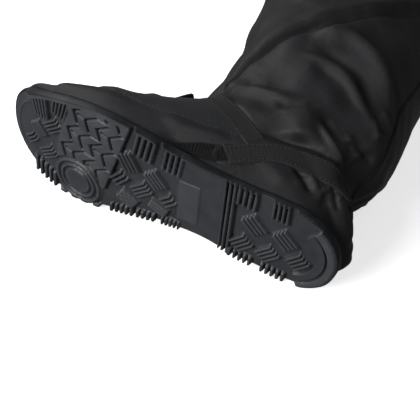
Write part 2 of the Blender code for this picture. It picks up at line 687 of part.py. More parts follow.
# Overlays: name, lower edge, upper edge, y from, y to, thickness, material
OVERLAYS = [
    ("heel_band", HEEL_BAND_LOWER, HEEL_BAND_UPPER, -120.0, 120.0, BAND_THICKNESS, webbing),
    ("elastic_lateral", ELASTIC_LOWER, ELASTIC_UPPER, 0.0, 120.0, BAND_THICKNESS, elastic),
    ("elastic_medial", ELASTIC_LOWER, ELASTIC_UPPER, -120.0, 0.0, BAND_THICKNESS, elastic),
    ("instep_band", INSTEP_BAND_LOWER, INSTEP_BAND_UPPER, -120.0, 120.0, BAND_THICKNESS, webbing),
    ("collar_hem", HEM_LOWER, HEM_UPPER, -120.0, 120.0, HEM_THICKNESS, cloth),
]
for name, lower, upper, y_from, y_to, thickness, material in OVERLAYS:
    make_overlay(name, side_guide(lower, upper, y_from, y_to), thickness, material)
make_overlay("back_strip", back_guide(), BACK_STRIP_THICKNESS, cloth)
make_tab(webbing)
lie_down()
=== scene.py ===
# Overboot lying on its inner side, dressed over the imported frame.
# Shapes are worked out in the boot's own standing frame, in millimetres: x runs from the heel
# to the toe, y to the outer side and z up from the tread. layDown then puts them in place.

import bpy
import numpy as np
from mathutils import Matrix, Vector


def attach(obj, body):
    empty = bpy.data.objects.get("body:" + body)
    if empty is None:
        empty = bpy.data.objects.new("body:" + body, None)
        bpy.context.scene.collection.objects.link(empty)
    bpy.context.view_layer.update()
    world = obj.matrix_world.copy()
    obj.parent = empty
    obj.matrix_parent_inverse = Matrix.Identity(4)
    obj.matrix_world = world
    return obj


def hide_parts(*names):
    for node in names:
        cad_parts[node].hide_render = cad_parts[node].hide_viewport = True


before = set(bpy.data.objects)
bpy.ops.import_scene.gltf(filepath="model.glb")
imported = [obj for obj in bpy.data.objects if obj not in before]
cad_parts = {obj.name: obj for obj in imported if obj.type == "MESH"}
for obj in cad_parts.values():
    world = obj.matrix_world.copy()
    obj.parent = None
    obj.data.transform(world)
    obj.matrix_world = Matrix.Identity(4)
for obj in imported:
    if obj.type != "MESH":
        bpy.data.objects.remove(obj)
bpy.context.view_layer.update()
print("frame loaded:", ", ".join(sorted(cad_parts)))

# how the boot lies: slopes of the floor in its own frame, and where its frame's origin goes
lying = {"perX": -0.0864, "perZ": -0.11, "shift": (155.988, -191.165, 47.146)}


def lyingTurn():
    # the standing axes go to (-x, z, y), then the floor's normal is turned straight down
    stand = Matrix(((-1, 0, 0), (0, 0, 1), (0, 1, 0)))
    down = stand @ Vector((lying["perX"], -1, lying["perZ"])).normalized()
    return np.array(down.rotation_difference(Vector((0, 0, -1))).to_matrix() @ stand)


bootTurn = lyingTurn()


def layDown(points):
    # every point turned, shifted and brought from millimetres to metres
    return (np.asarray(points, float) @ bootTurn.T + lying["shift"]) * 0.001


def gridFaces(rows, cols, wrap=False, ring=False):
    # quads between neighbouring grid points; wrap joins the last column to the first, ring the last row
    row = np.arange(rows if ring else rows - 1)[:, None]
    col = np.arange(cols if wrap else cols - 1)[None]
    below, ahead = (row + 1) % rows, (col + 1) % cols
    corners = [row * cols + col, below * cols + col, below * cols + ahead, row * cols + ahead]
    return np.stack(corners, axis=-1).reshape(-1, 4)


def unit(vectors):
    # each vector divided by its length
    return vectors / (np.linalg.norm(vectors, axis=-1, keepdims=True) + 1e-12)


def runAlong(grid, axis=0):
    # way covered along one axis of a grid or path of points, as a mean over the other axis
    steps = np.linalg.norm(np.diff(grid, axis=axis), axis=-1)
    return np.r_[0, np.cumsum(steps if steps.ndim == 1 else steps.mean(axis=1 - axis))]


def flatMap(along, across):
    # map coordinates in metres from the ways along and across in millimetres
    return np.stack(np.meshgrid(along, across, indexing="ij"), axis=-1) * 0.001


def addPiece(name, points, faces, materials, uv=None, loopUv=None, masks=None, nodes=()):
    # one mesh object from arrays: uv is given for each point, loopUv for each face's corners
    points = np.asarray(points, float).reshape(-1, 3)
    mesh = bpy.data.meshes.new(name)
    mesh.vertices.add(len(points))
    mesh.vertices.foreach_set("co", layDown(points).astype(np.float32).ravel())
    count, sides = faces.shape
    mesh.loops.add(count * sides)
    mesh.loops.foreach_set("vertex_index", faces.ravel().astype(np.int32))
    mesh.polygons.add(count)
    mesh.polygons.foreach_set("loop_start", np.arange(0, count * sides, sides, dtype=np.int32))
    mesh.polygons.foreach_set("use_smooth", np.ones(count, bool))
    for material in materials:
        mesh.materials.append(material)
    if uv is not None:
        loopUv = np.asarray(uv, float).reshape(-1, 2)[faces]
    if loopUv is not None:
        mesh.uv_layers.new(name="UVMap").data.foreach_set("uv", loopUv.ravel().astype(np.float32))
    for key, values in (masks or {}).items():
        mesh.attributes.new(key, "FLOAT", "POINT").data.foreach_set("value", np.ravel(values).astype(np.float32))
    mesh.update(calc_edges=True)
    mesh.validate()
    piece = bpy.data.objects.new(name, mesh)
    bpy.context.scene.collection.objects.link(piece)
    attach(piece, "root")
    if nodes:
        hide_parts(*nodes)
    print("  piece", name, count, "faces")


def smoothStep(value, low, high):
    # 0 below low, 1 above high, with a cubic ease between
    t = np.clip((value - low) / (high - low), 0, 1)
    return t * t * (3 - 2 * t)


def curveThrough(at, keys, values):
    # cubic curve through the keys; each key's slope comes from its neighbours
    keys, values = np.asarray(keys, float), np.asarray(values, float)
    slope = np.gradient(values, keys)
    low = np.clip(np.searchsorted(keys, at, side="right") - 1, 0, len(keys) - 2)
    step = keys[low + 1] - keys[low]
    t = (np.asarray(at, float) - keys[low]) / step
    ahead = (3 - 2 * t) * t * t
    return ((1 - ahead) * values[low] + ahead * values[low + 1]
            + step * t * (1 - t) * ((1 - t) * slope[low] - t * slope[low + 1]))


def splineRows(rows, at):
    # uniform cubic B-spline along the first axis, with its ends on the first and last row
    rows = np.concatenate([2 * rows[:1] - rows[1:2], rows, 2 * rows[-1:] - rows[-2:-1]])
    low = np.clip(np.floor(at).astype(int), 0, len(rows) - 4)
    t = (at - low).reshape((-1,) + (1,) * (rows.ndim - 1))
    weights = [(1 - t) ** 3, 3 * t ** 3 - 6 * t ** 2 + 4, -3 * t ** 3 + 3 * t ** 2 + 3 * t + 1, t ** 3]
    return sum(w * rows[low + i] for i, w in enumerate(weights)) / 6


# the rubber sole, with its tread worked out as a height over its plan

sole = {
    "length": 318.0,
    "spring": (187.0, 125.0, 18.0),        # start, reach, rise of the toe
    "lugHeight": 4.0,
    "arch": (121.0, 20.0, 1.0),            # middle, reach, rise of the waist
    "bed": 7.0,
    "edge": [                              # x, lateral y, medial y
        (0, -8, -8), (9, 18, -37.5), (22, 30, -47.5), (40, 37, -50), (62, 38, -49.5), (90, 38.5, -47.5),
        (118, 40.5, -44), (142, 44, -44), (170, 49, -49), (200, 53.5, -57), (222, 53.5, -63.5),
        (245, 49, -68), (265, 42, -68.5), (285, 33, -64.5), (302, 21.5, -55.5), (312.5, 8, -42), (318, -19, -19)],
    "side": [(0, 10.5), (60, 10), (118, 8.8), (200, 8.2), (258, 8.2), (272, 7.8), (282, 8.6), (296, 11.2), (318, 12.5)],
    "stations": 560, "across": 132,        # rows along the sole, columns across the tread
    "edgeParts": 70,                       # straight parts of the edge that depths are measured to
    "treadGap": 0.5,                       # from the wall's last ring in to the tread's first column
    # side wall from the lip's inside down to the tread: inset, share of the side's height
    "wall": [(2.9, 0.8), (2.4, 0.96), (1.9, 1.0), (1.3, 0.99), (0.95, 0.94), (0.85, 0.86), (0.7, 0.8), (0.25, 0.74),
             (0.05, 0.66), (0.0, 0.5), (0.0, 0.34), (0.15, 0.18), (0.5, 0.07), (1.1, 0.01)],
    "bedInset": 3.0, "bedSteps": 6,
}


def angleAt(x):
    # station angle of a length: 0 at the heel's end, pi at the toe
    return np.arccos(1 - 2 * np.clip(np.asarray(x, float) / sole["length"], 0, 1))


def springAt(x):
    # parabola from the ball to the toe
    start, reach, rise = sole["spring"]
    return rise * np.clip((np.asarray(x, float) - start) / reach, 0, None) ** 2


def archAt(x):
    # low bell under the waist
    middle, reach, rise = sole["arch"]
    return rise * np.exp(-((np.asarray(x, float) - middle) / reach) ** 2)


def floorAt(x):
    # underside between the lugs: toe spring, lug height and arch together
    return springAt(x) + sole["lugHeight"] + archAt(x)


def bedAt(x):
    # where the insole lies: the same curve, higher up
    return springAt(x) + sole["bed"] + archAt(x)


def lipAt(x):
    # top of the side wall: its height read along the length, over the toe spring
    station, height = zip(*sole["side"])
    return springAt(x) + np.interp(x, station, height)


def soleSides(inset, theta):
    # lateral and medial edge at each station angle, moved in along the outline's normal
    x, lateral, medial = np.array(sole["edge"], float).T
    length = sole["length"] * (1 - np.cos(theta)) / 2
    sides = [np.c_[length, curveThrough(theta, angleAt(x), side)] for side in (lateral, medial)]
    loop = np.concatenate([sides[0], sides[1][-2:0:-1]])
    run = np.roll(loop, -1, axis=0) - np.roll(loop, 1, axis=0)
    outward = np.c_[-run[:, 1], run[:, 0]] / np.linalg.norm(run, axis=1)[:, None]
    inset = np.broadcast_to(inset, len(theta))
    moved = loop - np.concatenate([inset, inset[-2:0:-1]])[:, None] * outward
    count = len(theta)
    return moved[:count], np.concatenate([moved[:1], moved[count - 1:][::-1]])


treadLook = {
    # ribbed lugs: x, y, rib length, span across the ribs, turn in degrees, ribs, fan in degrees
    "lugs": [
        (281, 20.5, 23, 16.5, 8, 5, 9), (257, 33, 24, 19, -13, 6, 8), (176, 35, 27, 19, -10, 4, 0),
        (150, 33, 27, 17.5, -7, 4, 0), (83.5, 28.5, 21, 17.5, -2, 4, 0), (54.5, 28.5, 20, 15, 1, 4, 0),
        (74.2, 1, 19.5, 15.8, 44, 4, 0), (46.4, -1, 19, 15.2, 47, 4, 0), (83.4, -26.8, 19, 14, -41, 4, 0),
        (59.5, -26, 19, 14, -42, 4, 0), (33.2, -19.8, 18, 14, -40, 4, 0), (190.5, 10.5, 21, 14.5, 29, 4, 0),
        (164.4, 3, 19, 14, 40, 4, 0), (198.5, -13, 17, 11, -39, 3, 0), (177.6, -16, 19, 13.5, -47, 4, 0),
        (152, -15.5, 14, 11.5, -45, 3, 0), (190, -34, 18.5, 13.5, 61, 5, 0), (160.5, -29, 18, 9.5, 70, 3, 0),
        (268.3, 5, 20, 12.5, -47, 4, 0), (284, -8.5, 16, 12, 40, 5, 0), (294, -26, 13, 9, -45, 3, 0),
        (274.5, -30.5, 18, 12, -50, 4, 0)],
    "top": 4.0, "blockRise": 1.0, "ribShare": 0.62, "blockMargin": 0.8,
    # ribs over the medial edge: first x, last x, reach inwards, ribs
    "edgeRibs": [(289, 268, 17, 5), (258, 222, 3.0, 4), (206, 186, 9, 5), (180, 165, 8, 4), (156, 141, 8, 5),
                 (92, 73.5, 9, 5), (62, 43, 9, 5)],
    "edgeProud": 1.3,
    # turning pad: middle, rings from inner to outer radius, base's radius and rise, dish, drop under the lugs' top
    "pivot": (241.8, -43.9), "pivotRings": [(-1, 13.3), (15.6, 18.3), (20.8, 24.2)],
    "pivotRim": 26.2, "pivotBase": 1.5, "pivotDish": 0.9, "pivotDrop": 0.2,
    # heel pad: the arc's middle and radius, its half width, the pad's inner radius, its sweep in degrees,
    # how much lower it is inside the arc and how deep the arc is cut
    "heelArc": (47.5, -9.8, 37.6), "heelArcHalf": 0.95, "heelInner": 29.0, "heelTurn": (126, 246),
    "heelStep": 0.9, "heelCut": 0.75,
    "breastRibs": [(102.6, 1.8), (98.9, 2.4), (94.6, 2.8)],     # x, width
    "waist": (103.5, 142.5, 1.5),          # rear x, front x, rise
    "waistBow": (3.2, -8.0, 26.0),         # how far its front bows out, the bow's middle y and reach
    "plate": (124.4, 143.0, -31, 15, 0.9),                      # x and y of its edges, rise
    "rimWidth": [(0, 1.5), (100, 1.6), (143, 2.2), (190, 2.8), (200, 4.2), (262, 4.4), (285, 5.5), (300, 7.5),
                 (318, 8.5)],              # along the lateral edge: x, width
    "rimGaps": [(187.6, 2.0), (163.0, 2.4), (142.8, 1.2), (69.0, 6.2), (44.5, 2.6), (91.8, 0.9)],   # x, half width
    "rimEnd": (300, 8),                    # x where the rim has faded out, over this length
    # raised field of the zigzag grooves: its straight rear edge, its soft front edge, its medial end
    "fieldRear": [(187.6, 54), (213.2, -38)],
    "fieldFront": [(250, 52), (251, 32), (257, 16), (263, -4), (265, -24)], "fieldEnd": (-40, -34),
    # grooves: the first one's head, steps of the lattice, its rows and columns, strokes from head and tail
    "boltHead": (242.8, 41.6), "boltAcross": (-11.5, -3.9), "boltAlong": (7.0, -23.6),
    "boltRows": (-1, 3), "boltColumns": 4,
    "boltStroke": (-3.3, -12.4), "boltTail": (-11.8, 8.2), "boltLink": (6.5, 2.3), "boltStep": (-7.3, -1.2),
    "boltHalf": 1.15, "tailHalf": 0.8, "boltDepth": 3.2,
    "hollowBlur": 5, "hollowDepth": 1.25,  # painted shade: slots are darkened by how deep they lie under the blurred tread
    "toeEnd": (280, 294, 8.0, 1.1, 1.6),   # x where it starts and is full, width, platform, bevel
    "toeRidge": (0.7, 0.9, 0.8),           # height, how far inside the end band, reach
    "heelBevel": (30, 14, 5.0, 2.4),       # x where it ends, length, width, drop
}


def softBox(a, b, halfA, halfB, ease=0.42):
    # 1 inside a rectangle and 0 outside, with an eased edge
    return smoothStep(halfA - np.abs(a), -ease, ease) * smoothStep(halfB - np.abs(b), -ease, ease)


def lineDistance(x, y, start, end):
    # distance to a straight stretch in plan
    start, run = np.array(start, float), np.subtract(end, start).astype(float)
    t = np.clip(((x - start[0]) * run[0] + (y - start[1]) * run[1]) / (run @ run), 0, 1)
    return np.hypot(x - start[0] - t * run[0], y - start[1] - t * run[1])


def edgeRibAt(x, first, last, ribs):
    # 1 on each of a row of ribs set out along x, eased to 0 between them
    phase = (x - last) / (abs(first - last) / (ribs - 1))
    rib = smoothStep(0.33 - np.abs(phase - np.round(phase)), -0.12, 0.12)
    return rib * ((phase > -0.5) & (phase < ribs - 0.5))


def ribbedLugs(x, y):
    # each lug is a low block with ribs: a comb across the lug, opened out like a fan where it has one
    look, rise = treadLook, np.zeros(x.shape)
    for cx, cy, length, span, turn, ribs, fan in look["lugs"]:
        turn = np.radians(turn)
        a = (x - cx) * np.sin(turn) + (y - cy) * np.cos(turn)
        b = (x - cx) * np.cos(turn) - (y - cy) * np.sin(turn)
        b = b / (1 + np.radians(fan) * a / span)
        margin = look["blockMargin"]
        block = softBox(a, b, length / 2 + margin, span / 2 + margin)
        phase = b / (span / (ribs - 1 + look["ribShare"])) + (ribs - 1) / 2
        rib = smoothStep(look["ribShare"] / 2 - np.abs(phase - np.round(phase)), -0.11, 0.11)
        rib = rib * softBox(a, b, length / 2, span / 2)
        rise = np.maximum(rise, block * look["blockRise"] + rib * (look["top"] - look["blockRise"]))
    return rise


def zigzagField(x, y, edgeDepth):
    # a raised field, sharp at its rear line and soft at its front, cut by bent grooves on a slanted lattice
    look = treadLook
    (x0, y0), (x1, y1) = look["fieldRear"]
    ahead = ((x - x0) * (y0 - y1) - (y0 - y) * (x1 - x0)) / np.hypot(x1 - x0, y1 - y0)
    front = np.array(look["fieldFront"])[::-1]
    behind = np.interp(y, front[:, 1], front[:, 0]) - x
    field = smoothStep(ahead, -0.4, 0.4) * smoothStep(behind, -3.5, 3.5)
    field = field * smoothStep(y, *look["fieldEnd"])
    cut = np.zeros(x.shape)
    for row in range(*look["boltRows"]):
        for column in range(look["boltColumns"]):
            head = np.array(look["boltHead"]) + np.multiply(look["boltAcross"], column)
            head = head + np.multiply(look["boltAlong"], row)
            tail = head + look["boltTail"]
            strokes = [(head, head + look["boltStroke"], look["boltHalf"]), (head, tail, look["tailHalf"])]
            if column % 2:
                strokes += [(head, head + look["boltLink"], look["boltHalf"]),
                            (tail, tail + look["boltStep"], look["tailHalf"])]
            for start, end, half in strokes:
                cut = np.maximum(cut, smoothStep(half - lineDistance(x, y, start, end), -0.4, 0.4))
    cut = cut * smoothStep(ahead, 1.2, 2.0) * smoothStep(edgeDepth, 4.6, 5.6)
    return field * (look["top"] - cut * look["boltDepth"])


def pivotDisc(x, y):
    # rings about the turning point, with a dished disc in their middle on a low round base
    look = treadLook
    radius = np.hypot(x - look["pivot"][0], y - look["pivot"][1])
    rise = look["pivotBase"] * smoothStep(look["pivotRim"] - radius, -0.4, 0.4)
    for inner, outer in look["pivotRings"]:
        ring = smoothStep(outer - radius, -0.42, 0.42) * smoothStep(radius - inner, -0.42, 0.42)
        dish = look["pivotDish"] * (1 - np.clip(radius / outer, 0, 1) ** 2) if inner < 0 else 0
        rise = np.maximum(rise, ring * (look["top"] - look["pivotDrop"] - dish))
    return rise, radius


def heelPad(x, y):
    # a flat ring sector round the heel's end, with an arc cut into it
    look = treadLook
    cx, cy, arc = look["heelArc"]
    radius, angle = np.hypot(x - cx, y - cy), np.degrees(np.arctan2(y - cy, x - cx)) % 360
    first, last = look["heelTurn"]
    sweep = smoothStep(angle - first, -0.9, 0.9) * smoothStep(last - angle, -0.9, 0.9)
    pad = sweep * smoothStep(radius - look["heelInner"], -0.6, 0.6) * (look["top"] - look["heelStep"] * (radius < arc))
    cut = smoothStep(look["heelArcHalf"] - np.abs(radius - arc), -0.35, 0.35)
    cut = cut * smoothStep(angle - first, 2, 4) * smoothStep(last - angle, 8, 12)
    return pad * (1 - look["heelCut"] * cut)


def plateAt(x, y):
    # 1 on the bare plate of the waist
    x0, x1, y0, y1 = treadLook["plate"][:4]
    return softBox(x - (x0 + x1) / 2, y - (y0 + y1) / 2, (x1 - x0) / 2, (y1 - y0) / 2)


def treadRise(x, y, lateralDepth, medialDepth):
    # how far the tread stands below the sole's floor: the highest of its lugs, rings, rims and ribs
    look, top = treadLook, treadLook["top"]
    edgeDepth = np.minimum(lateralDepth, medialDepth)
    disc, radius = pivotDisc(x, y)
    pivotRim = look["pivotRim"]
    rise = np.maximum(ribbedLugs(x, y), zigzagField(x, y, edgeDepth) * smoothStep(radius, pivotRim, pivotRim + 1))
    rise = np.maximum(rise * smoothStep(radius, pivotRim - 1, pivotRim), disc)
    rise = np.maximum(rise, heelPad(x, y))
    for first, last, reach, ribs in look["edgeRibs"]:
        rib = edgeRibAt(x, first, last, ribs) * smoothStep(reach - medialDepth, -0.4, 0.4)
        rise = np.maximum(rise, rib * top)
    for cx, width in look["breastRibs"]:
        rise = np.maximum(rise, top * smoothStep(width / 2 - np.abs(x - cx), -0.45, 0.45))
    first, last, height = look["waist"]
    swell, middle, reach = look["waistBow"]
    bow = swell * np.exp(-((y - middle) / reach) ** 2)
    waist = smoothStep(x, first - 0.5, first + 0.5) * smoothStep(last + bow - x, -0.5, 0.5)
    rise = np.maximum(rise, waist * height)
    rise = rise + look["plate"][4] * plateAt(x, y) * waist
    station, width = zip(*look["rimWidth"])
    rim = smoothStep(np.interp(x, station, width) - lateralDepth, -0.5, 0.5)
    for cx, half in look["rimGaps"]:
        rim = rim * (1 - smoothStep(half - np.abs(x - cx), -0.6, 0.6) * smoothStep(lateralDepth, -0.5, 0.5))
    rimEnd, fade = look["rimEnd"]
    rise = np.maximum(rise, top * rim * smoothStep(rimEnd - x, 0, fade))
    first, last, width, platform, bevel = look["toeEnd"]
    ridge, place, reach = look["toeRidge"]
    toe, inside = smoothStep(x, first, last), edgeDepth - width
    low = platform * smoothStep(inside, -0.6, 0.6) + ridge * np.exp(-((inside - place) / reach) ** 2)
    rise = np.maximum(rise, toe * low) - toe * bevel * np.clip(-inside / width, 0, 1) * smoothStep(1.0 - rise, 0, 1)
    end, length, width, drop = look["heelBevel"]
    return rise - drop * smoothStep(end - x, 0, length) * smoothStep(width - edgeDepth, 0, width) ** 2


def depthFrom(x, y, edge):
    # distance of every tread point to an edge line
    depth = np.full(x.shape, 1e9)
    for start, end in zip(edge[:-1], edge[1:]):
        depth = np.minimum(depth, lineDistance(x, y, start, end))
    return depth


def makeSole(material):
    # closed loops over station angle: lateral wall, across the tread, medial wall, back across the bed
    theta = np.linspace(0, np.pi, sole["stations"] + 1)
    edges = soleSides(sole["wall"][-1][0] + sole["treadGap"], theta)
    share = np.linspace(0, 1, sole["across"] + 1)[None, :, None]
    flat = edges[0][:, None] * (1 - share) + edges[1][:, None] * share
    x, y = flat[..., 0], flat[..., 1]
    keep = np.linspace(0, sole["stations"], sole["edgeParts"] + 1).astype(int)
    depths = [depthFrom(x, y, side[keep]) for side in soleSides(0, theta)]
    rise = treadRise(x, y, *depths)
    tread = np.stack([x, y, floorAt(x) - rise], axis=-1)
    walls = []
    for side in (0, 1):
        columns = []
        for inset, height in sole["wall"]:
            edge = soleSides(inset, theta)[side]
            low, high = floorAt(edge[:, 0]), lipAt(edge[:, 0])
            rim = rise[:, -side] * smoothStep(0.3 - height, 0, 0.3)     # the wall follows the tread's edge down
            point = np.c_[edge, low + height * (high - low) - rim]
            if side == 1:                                              # ribs that climb the medial side
                proud = np.zeros(len(edge))
                for first, last, _, ribs in treadLook["edgeRibs"]:
                    proud = np.maximum(proud, edgeRibAt(edge[:, 0], first, last, ribs))
                inward = soleSides(inset + 1.0, theta)[1] - edge
                proud = proud * treadLook["edgeProud"] * smoothStep(0.6 - height, 0, 0.12)
                point[:, :2] -= inward * proud[:, None]
            columns.append(point)
        walls.append(np.stack(columns, axis=1))
    bedEdges = soleSides(sole["bedInset"], theta)
    share = np.linspace(1, 0, sole["bedSteps"] + 1)[None, :, None]
    bed = bedEdges[0][:, None] * (1 - share) + bedEdges[1][:, None] * share
    bed = np.concatenate([bed, bedAt(bed[..., :1])], axis=-1)
    points = np.concatenate([walls[0], tread, walls[1][:, ::-1], bed], axis=1)
    # painted shade for the slots: how deep each point lies under the blurred tread
    cavityShade = np.clip((blurGrid(rise, treadLook["hollowBlur"]) - rise) / treadLook["hollowDepth"], 0, 1) ** 2
    around = ((0, 0), (len(sole["wall"]), len(sole["wall"]) + bed.shape[1]))      # columns of walls and bed
    masks = {"lugTop": rise / treadLook["top"], "cavityShade": cavityShade, "plate": plateAt(x, y)}
    masks = {key: np.pad(values, around) for key, values in masks.items()}
    # painted shade over the side walls and the bed
    masks["sideWall"] = np.pad(np.zeros(x.shape), around, constant_values=1)
    faces = gridFaces(*points.shape[:2], wrap=True)[:, ::-1]
    addPiece("soleRubber", points, faces, [material], masks=masks, nodes=("outsole",))


# the cloth upper: sections read along the foot and up the shaft

upper = {
    "inset": 3.1, "rise": 0.5, "wall": 1.4,    # foot inside the sole's edge, over its lip, cloth with lining
    "toeFront": 272.0, "heelLean": 6.0,    # x where the toe's front starts, sections over which the heel leans in
    "sideSteps": 10, "rowsPerSection": 2, "edgeSteps": 240, "fairing": [0.5, -0.52] * 14,
    # over the foot: x on the sole's edge, crest x, crest z, widest lateral y, widest medial y, fullness
    "foot": [
        (297.5, 315, 33, 20, -56, 1), (280, 310, 37, 34, -65, 1), (257, 288, 41.5, 45.5, -69, 1.03),
        (230, 258, 51, 54, -66.5, 1.05), (200, 221, 64, 55.5, -58.5, 1.05), (168, 190, 79.5, 52.5, -50.5, 1.03),
        (136, 174.5, 93, 50.5, -47.5, 1), (104, 169, 103, 50, -47, 0.97), (75, 167.8, 112, 51, -47.5, 0.95),
        (50, 167.5, 119.5, 52.5, -47.5, 0.95), (29, 167.6, 127, 54, -48, 0.95), (13, 167.9, 134.5, 55.5, -49, 0.95),
        (3.2, 168.2, 142, 57, -50, 0.95), (0, 168.7, 149.5, 58, -51, 0.95)],
    # up the shaft: back x, back z, front x, front z, widest lateral y, widest medial y, fullness
    "shaft": [
        (-3, 20, 169.3, 156, 59, -52.5, 0.95), (1, 34, 169.8, 162.5, 60, -54.5, 0.95),
        (10.5, 49, 170.3, 169.5, 61, -57, 0.94), (15.5, 63, 171.2, 177.5, 62, -60, 0.92),
        (8, 78, 172.8, 186.5, 64, -63.5, 0.9), (-2.5, 96, 175, 197.5, 66, -67.5, 0.88),
        (-4, 124, 178, 212, 67.5, -72, 0.88), (-1.5, 158, 181.5, 231, 68.5, -74.5, 0.88),
        (1, 197, 185.5, 257, 69.2, -75.5, 0.88), (6.2, 255, 191, 298, 70, -76.2, 0.88),
        (12.3, 315, 196, 341, 70.5, -76.8, 0.88), (19, 378, 201, 386, 71, -77.4, 0.88)],
    "floor": (-47.61, 0.4),                # the floor's y at the frame's origin, softness of the contact
    "rowStep": 1.25, "cols": 312,
    "split": ((100, 44), (-0.523, 0.853), 112.0),   # line under the instep band that parts vamp and shaft, rear end
    # sewn edge of the vamp's upper panel, in side view, and how proud the panel stands
    "seam": [(246, 46), (238, 38.5), (226, 30.5), (210, 29.2), (195, 28.2), (178, 30), (161, 33.6), (136, 36.5),
             (113, 42)],
    "seamStep": 1.0,
    # its stitches: how far over the edge, left off at the rear and front end, points along
    "seamStitch": 2.2, "seamEnds": (4, 5), "seamPoints": 260,
    "seamSpread": 0.8, "seamReach": 46.0,  # rays beside it for its normals, first guess of their length
}


def coarseUpper():
    # sections from toe to collar: each side swings from the sole's edge, or the back, to the crest
    foot, shaft = np.array(upper["foot"], float), np.array(upper["shaft"], float)
    heelRow = len(foot) - 1
    keys = np.arange(len(foot) + len(shaft))
    at = np.linspace(0, keys[-1], upper["rowsPerSection"] * keys[-1] + 1)
    crestX, crestZ, lateral, medial, fullness = (
        curveThrough(at, keys, np.concatenate([foot[:, i], shaft[:, i + 1]])) for i in range(1, 6))
    fullness = fullness[:, None]
    crestY = (lateral + medial) / 2
    theta = np.linspace(0, np.pi, upper["edgeSteps"] + 1)
    loops = soleSides(upper["inset"], theta)
    rowTheta = np.where(at >= heelRow, 0, np.interp(at, keys[:heelRow + 1], angleAt(foot[:, 0])))
    closed = at >= heelRow
    baseX = np.interp(rowTheta, theta, loops[0][:, 0])
    baseZ = lipAt(baseX) + upper["rise"]
    backX, backZ = np.concatenate([[[baseX[closed][0], baseZ[closed][0]]], shaft[:, :2]]).T
    baseX[closed] = curveThrough(at[closed], keys[heelRow:], backX)
    baseZ[closed] = curveThrough(at[closed], keys[heelRow:], backZ)
    baseSides = [np.interp(rowTheta, theta, loop[:, 1]) for loop in loops]
    lean = np.clip(1 - (at - heelRow) / upper["heelLean"], 0, 1)
    baseY = crestY + (sum(baseSides) / 2 - crestY) * lean
    share = np.linspace(0, 1, upper["sideSteps"] + 1)
    halves = []
    for loop, side, widest in zip(loops, baseSides, (lateral, medial)):
        spread = np.where(closed, 0, np.clip((side - baseY) / (widest - crestY), 0, 1))
        start = -np.arccos(spread ** (1 / fullness[:, 0]))
        phi = start[:, None] + (np.pi / 2 - start)[:, None] * share
        rise = np.sign(np.sin(phi)) * np.abs(np.sin(phi)) ** fullness
        climb = (rise - rise[:, :1]) / (1 - rise[:, :1])
        width = np.abs(np.cos(phi)) ** fullness
        width[:, -1] = 0
        x = baseX[:, None] + (crestX - baseX)[:, None] * climb
        y = baseY[:, None] + (crestY - baseY)[:, None] * climb + (widest - crestY)[:, None] * width
        z = baseZ[:, None] + (crestZ - baseZ)[:, None] * climb
        half = np.stack([x, y, z], axis=-1)
        front = loop[loop[:, 0] > upper["toeFront"]]
        front = front[np.argsort(front[:, 1])]
        half[0, :, 1] = side[0] + (crestY[0] - side[0]) * share
        half[0, :, 0] = np.interp(half[0, :, 1], front[:, 1], front[:, 0])
        half[0, :, 2] = lipAt(half[0, :, 0]) + upper["rise"]
        halves.append(half)
    return np.concatenate([halves[0], halves[1][:, -2::-1]], axis=1), upper["rowsPerSection"] * heelRow


def fairUpper(grid, heelRow):
    # each pass moves points towards their four neighbours' mean and back, with the borders held
    grid = grid.copy()
    free = np.zeros(grid.shape[:2], bool)
    free[1:-1, 1:-1] = True
    free[heelRow + 1:-1, [0, -1]] = True
    for step in upper["fairing"]:
        wide = np.concatenate([grid[:, -2:-1], grid, grid[:, 1:2]], axis=1)
        mean = (wide[:, :-2] + wide[:, 2:]) / 2
        mean[1:-1] = (2 * mean[1:-1] + grid[:-2] + grid[2:]) / 4
        grid[free] += step * (mean - grid)[free]
    return grid


def sideColumns(grid, closedFrom):
    # one more column on each side: the neighbour over the back's seam, or the edge carried on
    wide = np.concatenate([2 * grid[:, :1] - grid[:, 1:2], grid, 2 * grid[:, -1:] - grid[:, -2:-1]], axis=1)
    wide[closedFrom:, 0], wide[closedFrom:, -1] = grid[closedFrom:, -2], grid[closedFrom:, 1]
    return wide


def denseUpper():
    # B-spline through the faired sections, on evenly spaced rows
    coarse, heelRow = coarseUpper()
    coarse = fairUpper(coarse, heelRow)
    rows, cols = coarse.shape[:2]
    wide = np.swapaxes(sideColumns(coarse, heelRow + 1), 0, 1)
    across = np.swapaxes(splineRows(wide, np.linspace(0, cols - 1, upper["cols"] + 1) + 1), 0, 1)
    run = runAlong(across)
    even = np.linspace(0, run[-1], int(run[-1] / upper["rowStep"]))
    rowAt = np.interp(even, run, np.arange(rows))
    return splineRows(across, rowAt), int(np.searchsorted(rowAt, heelRow + 1e-6))


def gridNormals(grid, closedFrom):
    # cross product of the two grid directions, matched across the back's seam
    wide = sideColumns(grid, closedFrom)
    return unit(np.cross(np.gradient(grid, axis=0), wide[:, 2:] - wide[:, :-2]))


def restOnFloor(points, clearance=0.0):
    # points that would sink into the floor are eased up on to it
    floorY, soft = upper["floor"]
    floor = floorY + clearance + lying["perX"] * points[..., 0] + lying["perZ"] * points[..., 2]
    above = points[..., 1] - floor
    rested = points.copy()
    rested[..., 1] = floor + (above + np.hypot(above, 2 * soft)) / 2
    return rested


